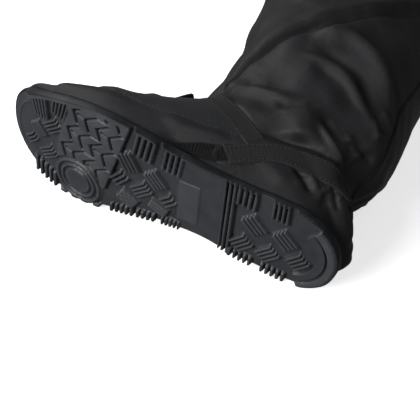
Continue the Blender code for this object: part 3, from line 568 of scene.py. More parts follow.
def castOn(skin, origins, directions, reach, near=40.0, rounds=5, longest=15.0, part=300):
    # along each ray, steps to where it meets the plane of the nearest cloth point, part by part to save memory
    origins = np.asarray(origins, float)
    directions = np.broadcast_to(np.asarray(directions, float), origins.shape)
    points, normals = (grid[::2, ::2].reshape(-1, 3) for grid in skin)
    reach = np.broadcast_to(np.asarray(reach, float), origins.shape[:-1]).copy()
    guess = (origins + directions * reach[..., None]).reshape(-1, 3)
    close = ((points > guess.min(axis=0) - near) & (points < guess.max(axis=0) + near)).all(axis=1)
    points, normals = points[close].astype(np.float32), normals[close]
    square = (points ** 2).sum(axis=1)
    for _ in range(rounds):
        at = (origins + directions * reach[..., None]).reshape(-1, 3)
        parts = np.array_split(at.astype(np.float32), max(1, len(at) // part))
        index = np.concatenate([np.argmin(square - 2 * some @ points.T, axis=1) for some in parts])
        gap = ((points[index] - at) * normals[index]).sum(axis=1)
        slope = (directions.reshape(-1, 3) * normals[index]).sum(axis=1)
        reach += np.clip(gap / np.maximum(slope, 0.25), -longest, longest).reshape(reach.shape)
    return reach


def blurGrid(values, rounds):
    # each round takes the mean of a value and its neighbours along and across, with the ends repeated
    for _ in range(rounds):
        for axis in (0, 1):
            pad = [(1, 1) if i == axis else (0, 0) for i in range(values.ndim)]
            wide = np.pad(values, pad, mode="edge")
            run = np.arange(values.shape[axis])
            values = (np.take(wide, run, axis=axis) + 2 * values + np.take(wide, run + 2, axis=axis)) / 4
    return values


def rayStrip(skin, origins, directions, reach, rounds=4):
    # where a grid of rays meets the cloth, slightly smoothed, with the strip's own normals
    directions = np.broadcast_to(np.asarray(directions, float), origins.shape)
    length = blurGrid(castOn(skin, origins, directions, reach), rounds)
    surface = origins + directions * length[..., None]
    normal = unit(np.cross(np.gradient(surface, axis=0), np.gradient(surface, axis=1)))
    facing = np.sign((normal * directions).sum(axis=2, keepdims=True).mean())
    return surface, normal * facing


# bands of webbing: where they run over the cloth
heelBand = {
    "axis": (70.0, 0.0),                   # plan point that the rows fan out from
    # turn about it in degrees from the toe's direction, lower edge z, upper edge z
    "edges": [(43, 15, 30.5), (56, 23.5, 42), (74, 32.5, 50.5), (88, 36, 53.6), (101, 37.6, 55.4), (117, 38.6, 56),
              (133, 39.6, 56.8), (160, 40.4, 58), (180, 41, 58.8)],
    "endSkew": 6.0, "reach": 55.0,         # slant of the front ends in degrees, first guess of the rays' length
    "rows": 300, "cols": 22, "thick": 1.5,
    "sewn": (3, -3), "boxRows": (4, 15, -16, -5),       # rows between which it is sewn down, rows sewn across
}
instepBand = {
    "middle": (100.0, 0.0, 44.0), "along": (0.844, 0.0, 0.536), "across": (-0.536, 0.0, 0.844),
    # turn in degrees from the outer side over the crest, lower and upper edge
    "edges": [(0, -6.4, 9.2), (45, -7.6, 10.2), (90, -9.0, 10.6)],
    "reach": (55.0, 30.0),                 # first guess of the rays' length at the sides, and more at the crest
    # degrees that the ends run on under the heel band, their share of the thickness, degrees over which they thin
    "tuck": 13.0, "tuckedThick": 0.3, "tuckFade": (-4, 1),
    "rows": 260, "cols": 22, "thick": 1.4, "sewn": (22, -22), "boxRows": (),
}
elastic = {
    # its two edges in side view: x, z
    "lower": [(111, 20), (120, 14.5), (136, 11.5), (151, 11)], "upper": [(114, 34), (125, 29), (138, 24), (158, 13)],
    "rows": 150, "cols": 16, "thick": 0.8, "pleats": 19, "pleatDepth": 0.2, "pleatEnd": 0.3, "reach": 46.0,
}


def heelBandRays():
    # rays out from the heel's upright axis, fanned round the back from one side's front end to the other's
    look = heelBand
    turn, low, high = np.array(look["edges"], float).T
    share = np.linspace(-1, 1, look["rows"])[:, None]
    width = np.linspace(0, 1, look["cols"])[None]
    front = turn[0] + look["endSkew"] * (0.5 - width)
    away = 180 - (180 - front) * np.abs(share)
    z = np.interp(away, turn, low) * (1 - width) + np.interp(away, turn, high) * width
    angle = np.radians(np.where(share < 0, away, 360 - away))
    directions = np.stack([np.cos(angle), np.sin(angle), 0 * z], axis=-1)
    origins = np.stack([look["axis"][0] + 0 * z, look["axis"][1] + 0 * z, z], axis=-1)
    return origins, directions, look["reach"]


def instepBandRays():
    # rays in slanted planes, fanned from the outer side over the crest to the inner side
    look = instepBand
    turn, low, high = np.array(look["edges"], float).T
    angle = np.linspace(-look["tuck"], 180 + look["tuck"], look["rows"])[:, None]
    width = np.linspace(0, 1, look["cols"])[None]
    folded = 90 - np.abs(angle - 90)
    offset = np.interp(folded, turn, low) * (1 - width) + np.interp(folded, turn, high) * width
    radians = np.radians(angle + 0 * width)[..., None]
    directions = np.cos(radians) * np.array([0.0, 1.0, 0.0]) + np.sin(radians) * np.array(look["along"])
    origins = np.array(look["middle"]) + offset[..., None] * np.array(look["across"])
    return origins, directions, look["reach"][0] + look["reach"][1] * np.sin(radians[..., 0])


def elasticRays(side):
    # rays straight out through a tapered strip in side view
    look = elastic
    share = np.linspace(0, 1, look["rows"])[:, None]
    width = np.linspace(0, 1, look["cols"])[None]
    edges = []
    for edge in (look["lower"], look["upper"]):
        stations = np.linspace(0, 1, len(edge))
        edges.append(np.stack([np.interp(share[:, 0], stations, values) for values in zip(*edge)], axis=-1))
    flat = edges[0][:, None] * (1 - width[..., None]) + edges[1][:, None] * width[..., None]
    origins = np.stack([flat[..., 0], 0 * flat[..., 0], flat[..., 1]], axis=-1)
    return origins, (0.0, side, 0.0), look["reach"]


# how the worn upper has settled: height, width below and above the line, the points that the line runs through
settleTable = [
    (-4.2, 13, 13, [(308, 8, 32), (301, 21, 31), (292, 30.5, 30.4), (285, 35.4, 29.4), (275, 39.5, 30),
                    (264, 42.5, 31)]),
    (-2.0, 14, 14, [(272.6, 40.2, 30), (263.5, 42.8, 31.2), (250.6, 45.7, 33.1), (238.4, 46, 37.1), (224, 46, 42)]),
    (-2.2, 14, 14, [(230, 46, 40), (211, 44, 47.7), (200, 41.7, 53.7), (189.2, 39.3, 60.5), (179.3, 36.6, 68.4),
                    (169.5, 33.4, 78.5)]),
    (-5.0, 12, 11, [(176, 36, 66), (169, 33, 79), (165.3, 29, 88.2), (162.1, 28.5, 93.2), (162.5, 24, 101),
                    (163.1, 21.1, 107.8)]),
    (5.0, 9, 9, [(-1.2, 0, 23), (0, -14, 22), (3, -23, 20), (8, -33, 17), (16, -40, 17), (28, -45, 17)]),
    (-5.0, 16, 17, [(8, 34, 92), (0, 20, 102), (-2, 5, 108), (-2.7, -9, 113), (3, -24, 103), (14, -36, 92)]),
    (-3.5, 7, 8, [(34, 44, 52), (24, 36, 52), (13, 20, 52), (11, 0, 52), (14, -20, 52), (26, -38, 52)]),
]
# folds of the cloth, in the same form
foldTable = [
    # long front fold, its run on to the back and the ridge beside it
    (-8.6, 2.9, 3.5, [(159, 27, 94), (156, 32, 106), (152, 39, 122), (146, 44, 137), (129, 58, 158),
                      (112, 64, 175), (94, 67, 192)]),
    (-3.4, 4.0, 3.2, [(122, 61, 164), (104, 66, 182), (72, 68, 216), (44, 60, 251), (20, 46, 278)]),
    (4.6, 4.5, 13.0, [(157, 34, 118), (150, 45, 142), (133, 59, 166), (108, 67, 190), (76, 68, 225),
                      (48, 61, 260), (24, 47, 288)]),
    # two curved ridges across the shaft, with a trough under each
    (8.2, 9.5, 5.6, [(110, 64, 165), (94, 66.7, 174), (79, 67.2, 182), (63, 66, 178), (45, 62, 167),
                     (27, 54, 149), (11, 42, 128)]),
    (-4.2, 8.0, 7.0, [(100, 64, 151), (84, 65.5, 155), (64, 64, 150), (47, 60, 142), (33, 53, 126), (23, 45, 112)]),
    (2.7, 4.4, 3.8, [(112, 61, 143), (92, 63.5, 145), (75, 64, 143), (62, 63, 138), (48, 60, 130),
                     (36, 55, 119), (27, 49, 110), (19, 42, 101)]),
    (-2.6, 10.0, 4.6, [(92, 62, 133), (77, 62.3, 132), (64, 61.8, 127), (50, 59, 119), (36, 53, 107)]),
    # slack over the instep band, and the puff over the heel band
    (3.6, 6.0, 3.6, [(156, 32, 90), (146, 41, 97), (134, 48, 100), (119, 53, 97), (101, 57, 95), (82, 60, 101)]),
    (-2.6, 5.0, 4.0, [(104, 54, 87), (93, 55.5, 89), (80, 57, 93), (67, 58, 99)]),
    (3.0, 9.0, 10.0, [(140, 46, 80), (118, 51, 74), (96, 52, 71), (76, 52, 71), (62, 50, 70)]),
    (5.4, 20.0, 9.0, [(86, 56, 99), (78, 55, 90.5), (70, 53.5, 81), (65, 51, 70), (63, 49.5, 62)]),
    # pleats down to the heel band and to the back strip
    (4.2, 3.0, 4.2, [(63, 53, 82), (56, 51, 78), (48, 49, 73.5), (41, 45.5, 69.5), (34, 41, 66.5), (26, 33, 65)]),
    (-3.2, 3.4, 4.0, [(62, 55, 91), (53, 53, 86), (45, 50, 81), (37, 46, 76), (30, 41, 72)]),
    (2.4, 3.0, 3.0, [(24, 50, 131), (18, 46.7, 126), (12, 40.6, 122), (7.5, 35, 118)]),
    (-2.4, 3.0, 3.0, [(27, 50, 121), (20, 46, 116), (14, 40, 112)]),
    (2.4, 3.0, 3.0, [(28, 51, 116), (22, 47.8, 110), (18, 44, 106), (15, 39.6, 101)]),
    (2.2, 3.4, 3.4, [(40, 49, 90), (32, 45, 86), (25, 39, 84), (18, 33, 85)]),
    (-3.6, 3.4, 3.6, [(100, 48, 54), (88, 48, 57.5), (74, 48, 59), (60, 48, 60.5), (44, 46.5, 61.5),
                      (30, 41, 62), (20, 32, 62.5), (12, 16, 63)]),
    (-2.6, 4.0, 4.0, [(36, 50, 80), (26, 45, 84), (17, 36, 88), (11, 26, 90)]),
    # upper shaft
    (3.0, 6.0, 6.0, [(170, 22, 250), (140, 58, 262), (100, 71, 284), (58, 70, 312), (24, 52, 330)]),
    (-2.2, 6.0, 6.0, [(176, 20, 232), (146, 55, 244), (112, 70, 262), (84, 72, 282)]),
    (-2.4, 5.0, 7.0, [(182, 18, 300), (160, 50, 306), (128, 69, 316), (96, 73, 328)]),
    # under the heel band
    (-3.4, 3.4, 4.2, [(64, 44, 42), (57, 42.5, 37), (51, 41, 34), (44, 39, 30), (38, 38, 25)]),
    (2.4, 6.0, 5.0, [(52, 42, 40), (45, 40.5, 36), (37, 38.5, 32), (29, 36, 27)]),
    (1.6, 7.0, 6.0, [(92, 44, 32), (80, 44, 30), (68, 43, 26), (60, 42, 20)]),
    (-2.0, 2.4, 2.6, [(28, 38, 43), (24, 36, 37), (21, 33, 31), (15, 27, 27)]),
    (-2.0, 2.6, 2.4, [(14, 24, 40), (9, 20, 36), (6, 15, 33)]),
    (-2.2, 2.6, 2.8, [(10, 12, 41), (4, 8, 36), (2, 2, 33), (1, -6, 31)]),
    # toe and lower vamp
    (-1.3, 3.6, 3.6, [(268, 43, 34), (272, 40.5, 28), (273.5, 38, 23), (272, 37, 18)]),
    (-3.6, 8.0, 7.0, [(172, 50, 13), (158, 49, 13), (144, 48, 16), (130, 47, 20), (116, 46, 26), (104, 45, 30)]),
    (2.2, 5.0, 6.0, [(176, 51, 25), (160, 51, 27), (146, 50, 30), (132, 49, 34), (118, 48, 40)]),
    # instep corner
    (-4.0, 2.8, 3.4, [(162, 27, 97), (156, 33, 97), (149, 38, 95.5), (142, 42, 93)]),
    (2.4, 4.0, 6.0, [(162, 28, 107), (153, 37, 106), (143, 44, 104), (132, 49, 100)]),
    (-1.6, 4.0, 5.0, [(196, 12, 75), (190, 28, 66), (184, 40, 55)]),
    (1.4, 5.0, 6.0, [(206, 14, 70), (200, 30, 61), (196, 41, 51)]),
]
gathers = {
    "height": 1.5, "coarser": 1.5,         # height of the fine pleats, times this where they are coarse
    "periods": ((8.5, 0.4), (17.0, 1.9)),  # fine and coarse: degrees of turn, start
    "change": (2, 14),                     # mm from the band where fine gives way to coarse
    "wander": (5.0, 6.3, 0.7, 0.12),       # sway in degrees, its period and start, slant in degrees per mm of height
    "swell": (0.55, 0.45, 8.5, 2.0),       # mean share of the height, its change, period and start
    "reach": (17.0, 12.0),                 # mm over which they die away above and below the band
    "from": (88, 128),                     # degrees of turn where they start and are full
}
crumple = {
    # slow waves of the cloth: length in mm, direction, start, height in mm
    "waves": [(61, (0.8, 0.1, 0.6), 0.4, 0.7), (43, (-0.5, 0.3, 0.8), 1.9, 0.55), (29, (0.9, -0.4, 0.2), 3.1, 0.35),
              (21, (0.3, 0.6, -0.8), 5.0, 0.25)],
    "bend": (0.9, 2.3),                    # how much each wave sways, over how many of its lengths
}
folding = {
    "fine": 8, "reach": 3.0,               # steps of a fold's line per point, widths within which it counts
    "fade": (-0.01, 0.25),                 # share of the line over which its ends fade
    "parting": (-25, 5), "innerShare": 0.35,    # y from the inner to the outer side, share of the mirrored folds there
    "slack": (60, 110, 0.2),               # z where the waves start to grow and are full, their share below
    "lipFade": (2, 14), "settleFade": (0.5, 7),    # mm over the sole's lip where folds and settling start and are full
    "bandHold": (7.6, 9.6),                # mm from a band's middle: flat up to the first, free past the second
    "vampFade": 3, "seamEase": 0.9,        # mm over which the panel starts at the split, and at its sewn edge
}
lining = {
    "search": 6, "blur": 2, "thin": 3,     # grid steps searched for troughs, rounds of blur, every third point is kept
    "clearance": 1.0,                      # over the floor
    "hemShare": 0.6, "hemBlend": (8, 2),   # share of the wall's thickness under the hem, rows before and past its foot
}


def foldHeights(points, normals, table):
    # sum of the folds: across a fold's line a bell with two widths, along it faded out at both ends
    total = np.zeros(len(points))
    for height, below, above, line in table:
        line = np.array(line, float)
        fine = splineRows(line, np.linspace(0, len(line) - 1, folding["fine"] * len(line)))
        reach = folding["reach"] * max(below, above)
        low, high = fine.min(axis=0) - reach, fine.max(axis=0) + reach
        close = np.flatnonzero(((points > low) & (points < high)).all(axis=1))
        here, out = points[close], normals[close]
        best, where, side = np.full(len(close), 1e9), np.zeros(len(close)), np.zeros(len(close))
        for i, (start, end) in enumerate(zip(fine[:-1], fine[1:])):
            gap = (here - start) - ((here - start) * out).sum(axis=1)[:, None] * out
            run = (end - start) - (out @ (end - start))[:, None] * out
            t = np.clip((gap * run).sum(axis=1) / ((run * run).sum(axis=1) + 1e-9), 0, 1)
            gap = gap - t[:, None] * run
            away = (gap ** 2).sum(axis=1)
            nearer = away < best
            best[nearer], where[nearer] = away[nearer], ((i + t) / (len(fine) - 1))[nearer]
            side[nearer] = (np.cross(run, gap) * out).sum(axis=1)[nearer]
        fade = smoothStep(where, *folding["fade"]) * smoothStep(1 - where, *folding["fade"])
        total[close] += height * fade * np.exp(-best / np.where(side > 0, above, below) ** 2)
    return total


def waveHeights(points):
    # a few long sine waves at fixed slants, so that no stretch of cloth is quite even
    total = np.zeros(len(points))
    sway, longer = crumple["bend"]
    for length, direction, start, height in crumple["waves"]:
        direction = np.array(direction) / np.linalg.norm(direction)
        bend = sway * np.sin(points @ np.roll(direction, 1) * 2 * np.pi / (longer * length) + start)
        total += height * np.sin(points @ direction * 2 * np.pi / length + start + bend)
    return total


def gatherHeights(points):
    # small pleats that spread from the heel band: sines of the turn about the heel, fine at the band, coarser away
    look = gathers
    turn = np.degrees(np.arctan2(points[:, 1], heelBand["axis"][0] - points[:, 0]))
    around, low, high = np.array(heelBand["edges"], float).T
    away = 180 - np.abs(turn)
    above = points[:, 2] - np.interp(away, around, high)
    below = np.interp(away, around, low) - points[:, 2]
    sway, period, start, slant = look["wander"]
    wander = turn + sway * np.sin(turn / period + start) + slant * points[:, 2]
    fine, coarse = (np.sin(2 * np.pi * wander / length + phase) for length, phase in look["periods"])
    far = smoothStep(np.maximum(above, below), *look["change"])
    mean, change, period, start = look["swell"]
    swell = mean + change * np.sin(turn / period + start)
    up, down = look["reach"]
    reach = np.exp(-np.where(above > 0, above / up, np.clip(below, 0, None) / down))
    pleats = fine * (1 - far) + look["coarser"] * coarse * far
    return look["height"] * swell * pleats * reach * smoothStep(away, *look["from"])


def nearStrip(points, strip, inner, outer, every=6):
    # 1 on cloth within the inner distance of a strip's middle line, 0 past the outer one
    path = strip[::every, strip.shape[1] // 2]
    best = np.full(len(points), 1e9)
    for start, end in zip(path[:-1], path[1:]):
        run = end - start
        t = np.clip((points - start) @ run / (run @ run), 0, 1)
        best = np.minimum(best, ((points - start - t[:, None] * run) ** 2).sum(axis=1))
    return smoothStep(outer - np.sqrt(best), 0, outer - inner)


def aboveSeam(points):
    # signed distance over the vamp panel's sewn edge in side view, negative below it
    seam = np.array(upper["seam"], float)[::-1]
    x, z = points[:, 0], points[:, 2]
    height = curveThrough(np.clip(x, seam[0, 0], seam[-1, 0]), seam[:, 0], seam[:, 1])
    slope = np.interp(x, seam[:, 0], np.gradient(seam[:, 1], seam[:, 0]))
    return (z - height) / np.hypot(1, slope)


def shapeCloth(base, closedFrom, strips):
    # the smooth upper pushed out along its normals by folds, waves and the vamp panel's thickness
    normal = gridNormals(base, closedFrom)
    points, out = base.reshape(-1, 3), normal.reshape(-1, 3)
    lateral = smoothStep(points[:, 1], *folding["parting"])
    mirror = np.array([1.0, -1.0, 1.0])
    height = foldHeights(points, out, foldTable) * lateral
    height += folding["innerShare"] * foldHeights(points * mirror, out * mirror, foldTable) * (1 - lateral)
    low, full, least = folding["slack"]
    slack = smoothStep(points[:, 2], low, full) * (1 - least) + least
    overLip = smoothStep(points[:, 2] - lipAt(points[:, 0]), *folding["lipFade"])
    height += (waveHeights(points) * slack + gatherHeights(points)) * overLip
    for strip in strips:
        height *= 1 - nearStrip(points, strip, *folding["bandHold"])
    vamp = smoothStep(-behindSplit(points), 0, folding["vampFade"])
    height += vamp * upper["seamStep"] * smoothStep(aboveSeam(points), -folding["seamEase"], folding["seamEase"])
    height = height.reshape(base.shape[:2])
    cloth = restOnFloor(base + normal * height[..., None])
    cloth[closedFrom:, -1] = cloth[closedFrom:, 0]
    hemRow = len(base) - int(collarHem["depth"] / upper["rowStep"])
    before, past = lining["hemBlend"]
    underHem = smoothStep(np.arange(len(base)), hemRow - before, hemRow + past)[:, None]
    free = lowestNear(height, lining["search"]) - upper["wall"]
    hemmed = height - lining["hemShare"] * upper["wall"]        # there the lining lies inside the hem
    depth = free * (1 - underHem) + hemmed * underHem
    inner = restOnFloor(base + normal * depth[..., None], lining["clearance"])
    inner[closedFrom:, -1] = inner[closedFrom:, 0]
    return cloth, inner


def lowestNear(values, reach):
    # the least value within a few steps along and across, so that the lining stays clear of every trough
    for axis in (0, 1):
        pad = [(reach, reach) if i == axis else (0, 0) for i in (0, 1)]
        wide, run = np.pad(values, pad, mode="edge"), np.arange(values.shape[axis])
        values = np.minimum.reduce([np.take(wide, run + shift, axis=axis) for shift in range(2 * reach + 1)])
    return blurGrid(values, lining["blur"])


def settleUpper(base, closedFrom):
    # the smooth upper moved along its normals by the settle table, with its lower border held
    points, normal = base.reshape(-1, 3), gridNormals(base, closedFrom)
    height = foldHeights(points, normal.reshape(-1, 3), settleTable)
    height *= smoothStep(points[:, 2] - lipAt(points[:, 0]), *folding["settleFade"])
    settled = base + normal * height.reshape(base.shape[:2])[..., None]
    settled[closedFrom:, -1] = settled[closedFrom:, 0]
    return settled


def behindSplit(points):
    # signed distance past the line that parts vamp and shaft, or the rear end of the vamp
    (cx, cz), (ux, uz), rear = upper["split"]
    return np.maximum((points[..., 0] - cx) * ux + (points[..., 2] - cz) * uz, rear - points[..., 0])


def weldBack(faces, cols, closedFrom):
    # past the heel the last column is the first one
    row, col = faces // cols, faces % cols
    return np.where((row >= closedFrom) & (col == cols - 1), row * cols, faces)


def keepFaces(points, faces):
    # only the points that these faces use, and the faces counted anew
    used, index = np.unique(faces, return_inverse=True)
    return points.reshape(-1, 3)[used], index.reshape(faces.shape), used


def clothUv(cloth):
    # flat map in metres: mean run along the rows, mean run round the columns
    return flatMap(runAlong(cloth), runAlong(cloth, 1))


def makeCloth(cloth, inner, closedFrom, material, liningMaterial):
    # outer cloth in two pieces that part under the bands, and the lining inside it
    rows, cols = cloth.shape[:2]
    faces, uv = gridFaces(rows, cols), clothUv(cloth).reshape(-1, 2)
    behind = behindSplit(cloth).reshape(-1)
    over = aboveSeam(cloth.reshape(-1, 3))
    vamp = behind[faces].mean(axis=1) < 0
    for name, chosen in (("vampCloth", vamp), ("shaftCloth", ~vamp)):
        points, index, used = keepFaces(cloth, weldBack(faces[chosen], cols, closedFrom))
        addPiece(name, points, index, [material], loopUv=uv[faces[chosen]],
                 masks={"behind": behind[used], "overSeam": over[used]}, nodes=("upper",))
    keepRow, keepCol = (np.r_[0:count - 1:lining["thin"], count - 1] for count in (rows, cols))
    inner = inner[keepRow][:, keepCol]
    faces = gridFaces(len(keepRow), len(keepCol))
    uv = clothUv(inner).reshape(-1, 2)
    welded = weldBack(faces, len(keepCol), int(np.searchsorted(keepRow, closedFrom)))
    points, index, _ = keepFaces(inner, welded)
    addPiece("upperLining", points, index[:, ::-1], [liningMaterial], loopUv=uv[faces[:, ::-1]])


def stripPiece(name, surface, normal, offset, material, nodes=(), sink=0.35, clearance=0.2):
    # closed strip: its top follows the offset over the cloth, its underside sits just in the cloth
    rows, cols = surface.shape[:2]
    offset = np.broadcast_to(offset, (rows, cols)).copy()
    offset[[0, -1]] = -sink
    top = surface + normal * offset[..., None]
    under = (surface - normal * sink)[:, ::-1]
    points = restOnFloor(np.concatenate([top, under], axis=1), clearance)
    across = runAlong(surface, 1)
    uv = flatMap(runAlong(surface[:, cols // 2]), np.r_[across, across[::-1]])
    faces = gridFaces(rows, 2 * cols, wrap=True)
    run = np.cross(np.gradient(surface, axis=0), np.gradient(surface, axis=1))
    if (run * normal).sum() < 0:
        faces = faces[:, ::-1]
    edge = np.abs(np.linspace(-1, 1, cols))
    edge = np.broadcast_to(np.r_[edge, edge], (rows, 2 * cols))
    addPiece(name, points, faces, [material], uv=uv, masks={"edge": edge}, nodes=nodes)


# shares of the thickness, and of the half width where the bound edge starts and is full
webbingEdge = {"middle": 0.85, "raised": 0.3, "from": (0.78, 0.86), "squareness": 14, "sunk": 0.1}


def webbingOffset(cols, thick):
    # across the webbing: flat middle, slightly raised bound edges, rounded down at both sides
    look, w = webbingEdge, np.abs(np.linspace(-1, 1, cols))
    profile = look["middle"] + look["raised"] * smoothStep(w, *look["from"])
    return thick * profile * np.sqrt(np.clip(1 - w ** look["squareness"], 0, 1)) - look["sunk"]


stitch = {
    "length": 2.4, "gap": 1.3, "radius": 0.26, "sides": 5,
    # rings of a spindle: place along it, share of the radius
    "rings": [(-1.0, 0.02), (-0.75, 0.8), (0.0, 1.0), (0.75, 0.8), (1.0, 0.02)],
    "lift": 0.12, "arch": 0.2,             # over the cloth at its ends, and more in its middle
    "clearance": 0.3,                      # over the floor
    "column": 3, "onBand": 0.8,            # columns in from a band's edge, share of the band's thickness
}


def stitchPoints(path, normal):
    # small spindles set end to end along a path: rings about the run, lifted in their middle
    look = stitch
    run = runAlong(path)
    places = np.arange(look["gap"], run[-1] - look["length"], look["length"] + look["gap"])
    t, ring = np.array(look["rings"]).T
    ring = look["radius"] * ring
    angle = np.linspace(0, 2 * np.pi, look["sides"], endpoint=False)
    at = places[:, None] + look["length"] * (t + 1) / 2
    middle, up = (np.stack([np.interp(at, run, values[:, i]) for i in range(3)], axis=-1) for values in (path, normal))
    aside = np.cross(up, unit(middle[:, -1:] - middle[:, :1]))
    middle = middle + up * (look["lift"] + look["arch"] * (1 - t ** 2))[None, :, None]
    return (middle[:, :, None] + aside[:, :, None] * (ring[:, None] * np.cos(angle))[None, ..., None]
            + up[:, :, None] * (ring[:, None] * np.sin(angle))[None, ..., None])


def stitchRows(name, rows, material):
    # one piece from several rows, each a path with its normals
    points = np.concatenate([stitchPoints(path, normal) for path, normal in rows])
    count, rings, sides = points.shape[:3]
    one = gridFaces(rings, sides, wrap=True)
    faces = (one[None] + np.arange(count)[:, None, None] * rings * sides).reshape(-1, 4)
    addPiece(name, restOnFloor(points, stitch["clearance"]), faces, [material])


def seamRays(side):
    # rays straight out along the vamp's seam, just over its edge
    seam = np.array(upper["seam"], float)[::-1]
    rear, front = upper["seamEnds"]
    x = np.linspace(seam[0, 0] + rear, seam[-1, 0] - front, upper["seamPoints"])
    height = curveThrough(x, seam[:, 0], seam[:, 1])
    over = upper["seamStitch"] + np.array([-1, 0, 1]) * upper["seamSpread"]
    z = height[:, None] + over * np.hypot(1, np.gradient(height, x))[:, None]
    origins = np.stack([x[:, None] + 0 * z, 0 * z, z], axis=-1)
    return origins, (0.0, side, 0.0), upper["seamReach"]


backStrip = {
    # height, y of the outer edge, where its seam runs, and of the inner edge
    "edges": [(64, 6, -14), (72, 12, -15), (80, 18, -17), (93, 24, -23), (110, 32, -29), (133, 37, -33),
              (148, 39.5, -35), (172, 36, -33), (195, 32, -31), (250, 31, -30), (352, 32, -30)],
    "from": 60.0, "reach": 55.0,           # x that its rays start from, first guess of their length
    "rows": 250, "cols": 44, "thick": 0.8,
    # rolled edges: height, where across they start and are full, how far they turn down, where
    "bead": 0.5, "beadAt": (0.9, 0.95), "drop": 1.2, "dropAt": (0.97, 1.0),
}
instepTab = {
    "x": (208, 180), "y": (-10.0, 18.0),   # sewn and free end, its two sides
    "from": 40.0, "reach": 35.0,           # z that its rays start from, first guess of their length
    "rows": 46, "cols": 24, "thick": 1.6, "lift": 12.0,
    "round": 0.3, "roundEnd": 0.2,         # how far the free end narrows, over this share of the length
}
collarHem = {
    "depth": 26.0, "proud": 0.9, "roll": 8,    # mm down from the collar, over the cloth, rows over its top
    "foot": (-0.3, 0.75),                  # its lowest row in the cloth, share of proud on the next one
    "colStep": 1.5, "stitchRow": 2,        # a column's width in the flat map, row that the stitches follow
}


def backStripRays():
    # rays straight back through the shaft, between the strip's two edges
    look = backStrip
    height, outer, inner = np.array(look["edges"], float).T
    z = np.linspace(height[0], height[-1], look["rows"])[:, None]
    width = np.linspace(0, 1, look["cols"])[None]
    y = curveThrough(z, height, outer) * (1 - width) + curveThrough(z, height, inner) * width
    origins = np.stack([look["from"] + 0 * y, y, z + 0 * y], axis=-1)
    return origins, (-1.0, 0.0, 0.0), look["reach"]


def makeTab(skin, material):
    # a short tongue on the instep whose free end lifts with the square of its length
    look = instepTab
    share = np.linspace(0, 1, look["rows"])[:, None]
    width = np.linspace(-1, 1, look["cols"])[None]
    x = look["x"][0] + (look["x"][1] - look["x"][0]) * share + 0 * width
    end = np.clip(share - (1 - look["roundEnd"]), 0, 1) / look["roundEnd"]
    narrow = np.sqrt(np.clip(1 - end ** 2 * look["round"], 0, 1))
    y = sum(look["y"]) / 2 + (look["y"][1] - look["y"][0]) / 2 * width * narrow
    origins = np.stack([x, y, look["from"] + 0 * x], axis=-1)
    surface, _ = rayStrip(skin, origins, (0.0, 0.0, 1.0), look["reach"])
    surface[..., 2] += look["lift"] * share ** 2
    normal = unit(np.cross(np.gradient(surface, axis=0), np.gradient(surface, axis=1)))
    normal *= np.sign(normal[..., 2].mean())
    offset = webbingOffset(look["cols"], look["thick"])
    stripPiece("instepTab", surface, normal, offset, material, ("instep_tab",))


def makeHem(cloth, closedFrom, material):
    # the collar's doubled edge: up the outside, over the top in a half circle, down the inside
    look = collarHem
    normal = gridNormals(cloth, closedFrom)
    count = int(look["depth"] / upper["rowStep"])
    outer = np.arange(len(cloth) - count, len(cloth))
    wall, proud = upper["wall"], look["proud"]
    sunk, share = look["foot"]
    lift = np.r_[sunk, share * proud, np.full(count - 2, proud)][:, None, None]
    up = unit(cloth[-1] - cloth[-2])
    half = (wall + 2 * proud) / 2
    phi = np.linspace(0, np.pi, look["roll"] + 2)[1:-1, None, None]
    rows = [cloth[outer] + normal[outer] * lift,
            cloth[-1] + normal[-1] * (proud - half + half * np.cos(phi)) + up * (half * np.sin(phi)),
            cloth[outer[::-1]] + normal[outer[::-1]] * -(wall + lift[::-1])]
    points = np.concatenate(rows)[:, :-1]
    count, cols = points.shape[:2]
    faces = gridFaces(count, cols, wrap=True, ring=True)
    uv = flatMap(np.arange(count) * upper["rowStep"], np.arange(cols) * look["colStep"])
    addPiece("collarHem", restOnFloor(points), faces, [material], uv=uv, nodes=("collar_hem",))
    row = outer[look["stitchRow"]]
    return cloth[row] + normal[row] * proud, normal[row]


# finishes: colours are linear; lengths in the textures are metres


def newMaterial(name, colour, roughness, **sockets):
    # a material whose constant values sit on the shader's own sockets
    material = bpy.data.materials.new(name)
    material.use_nodes = True
    shader = material.node_tree.nodes["Principled BSDF"]
    for key, value in {"Base Color": (*colour, 1), "Roughness": roughness, **sockets}.items():
        shader.inputs[key].default_value = value
    return material, material.node_tree, shader


def addNode(tree, kind, inputs, **settings):
    # a node with its settings; an input that is a socket gets linked, any other is set
    node = tree.nodes.new("ShaderNode" + kind)
    for key, value in settings.items():
        setattr(node, key, value)
    for key, value in inputs.items():
        if isinstance(value, bpy.types.NodeSocket):
            tree.links.new(value, node.inputs[key])
        else:
            node.inputs[key].default_value = value
    return node.outputs[0]


def mathNode(tree, operation, first, second=0.0, third=0.0):
    # one step of arithmetic on sockets or numbers
    return addNode(tree, "Math", {0: first, 1: second, 2: third}, operation=operation)


def colourRamp(tree, factor, stops):
    # colours at places from 0 to 1, blended straight between them
    node = tree.nodes.new("ShaderNodeValToRGB")
    tree.links.new(factor, node.inputs[0])
    for element, (place, colour) in zip(node.color_ramp.elements, (stops[0], stops[-1])):
        element.position, element.color = place, (*colour, 1)
    for place, colour in stops[1:-1]:
        node.color_ramp.elements.new(place).color = (*colour, 1)
    return node.outputs[0]


def greyRamp(tree, factor, stops):
    # the same with greys
    return colourRamp(tree, factor, [(place, (grey,) * 3) for place, grey in stops])


def spread(tree, factor, low, high):
    # a pattern's middle half, 0.25 to 0.75, brought to the span from low to high
    return addNode(tree, "MapRange", {0: factor, 1: 0.25, 2: 0.75, 3: low, 4: high})


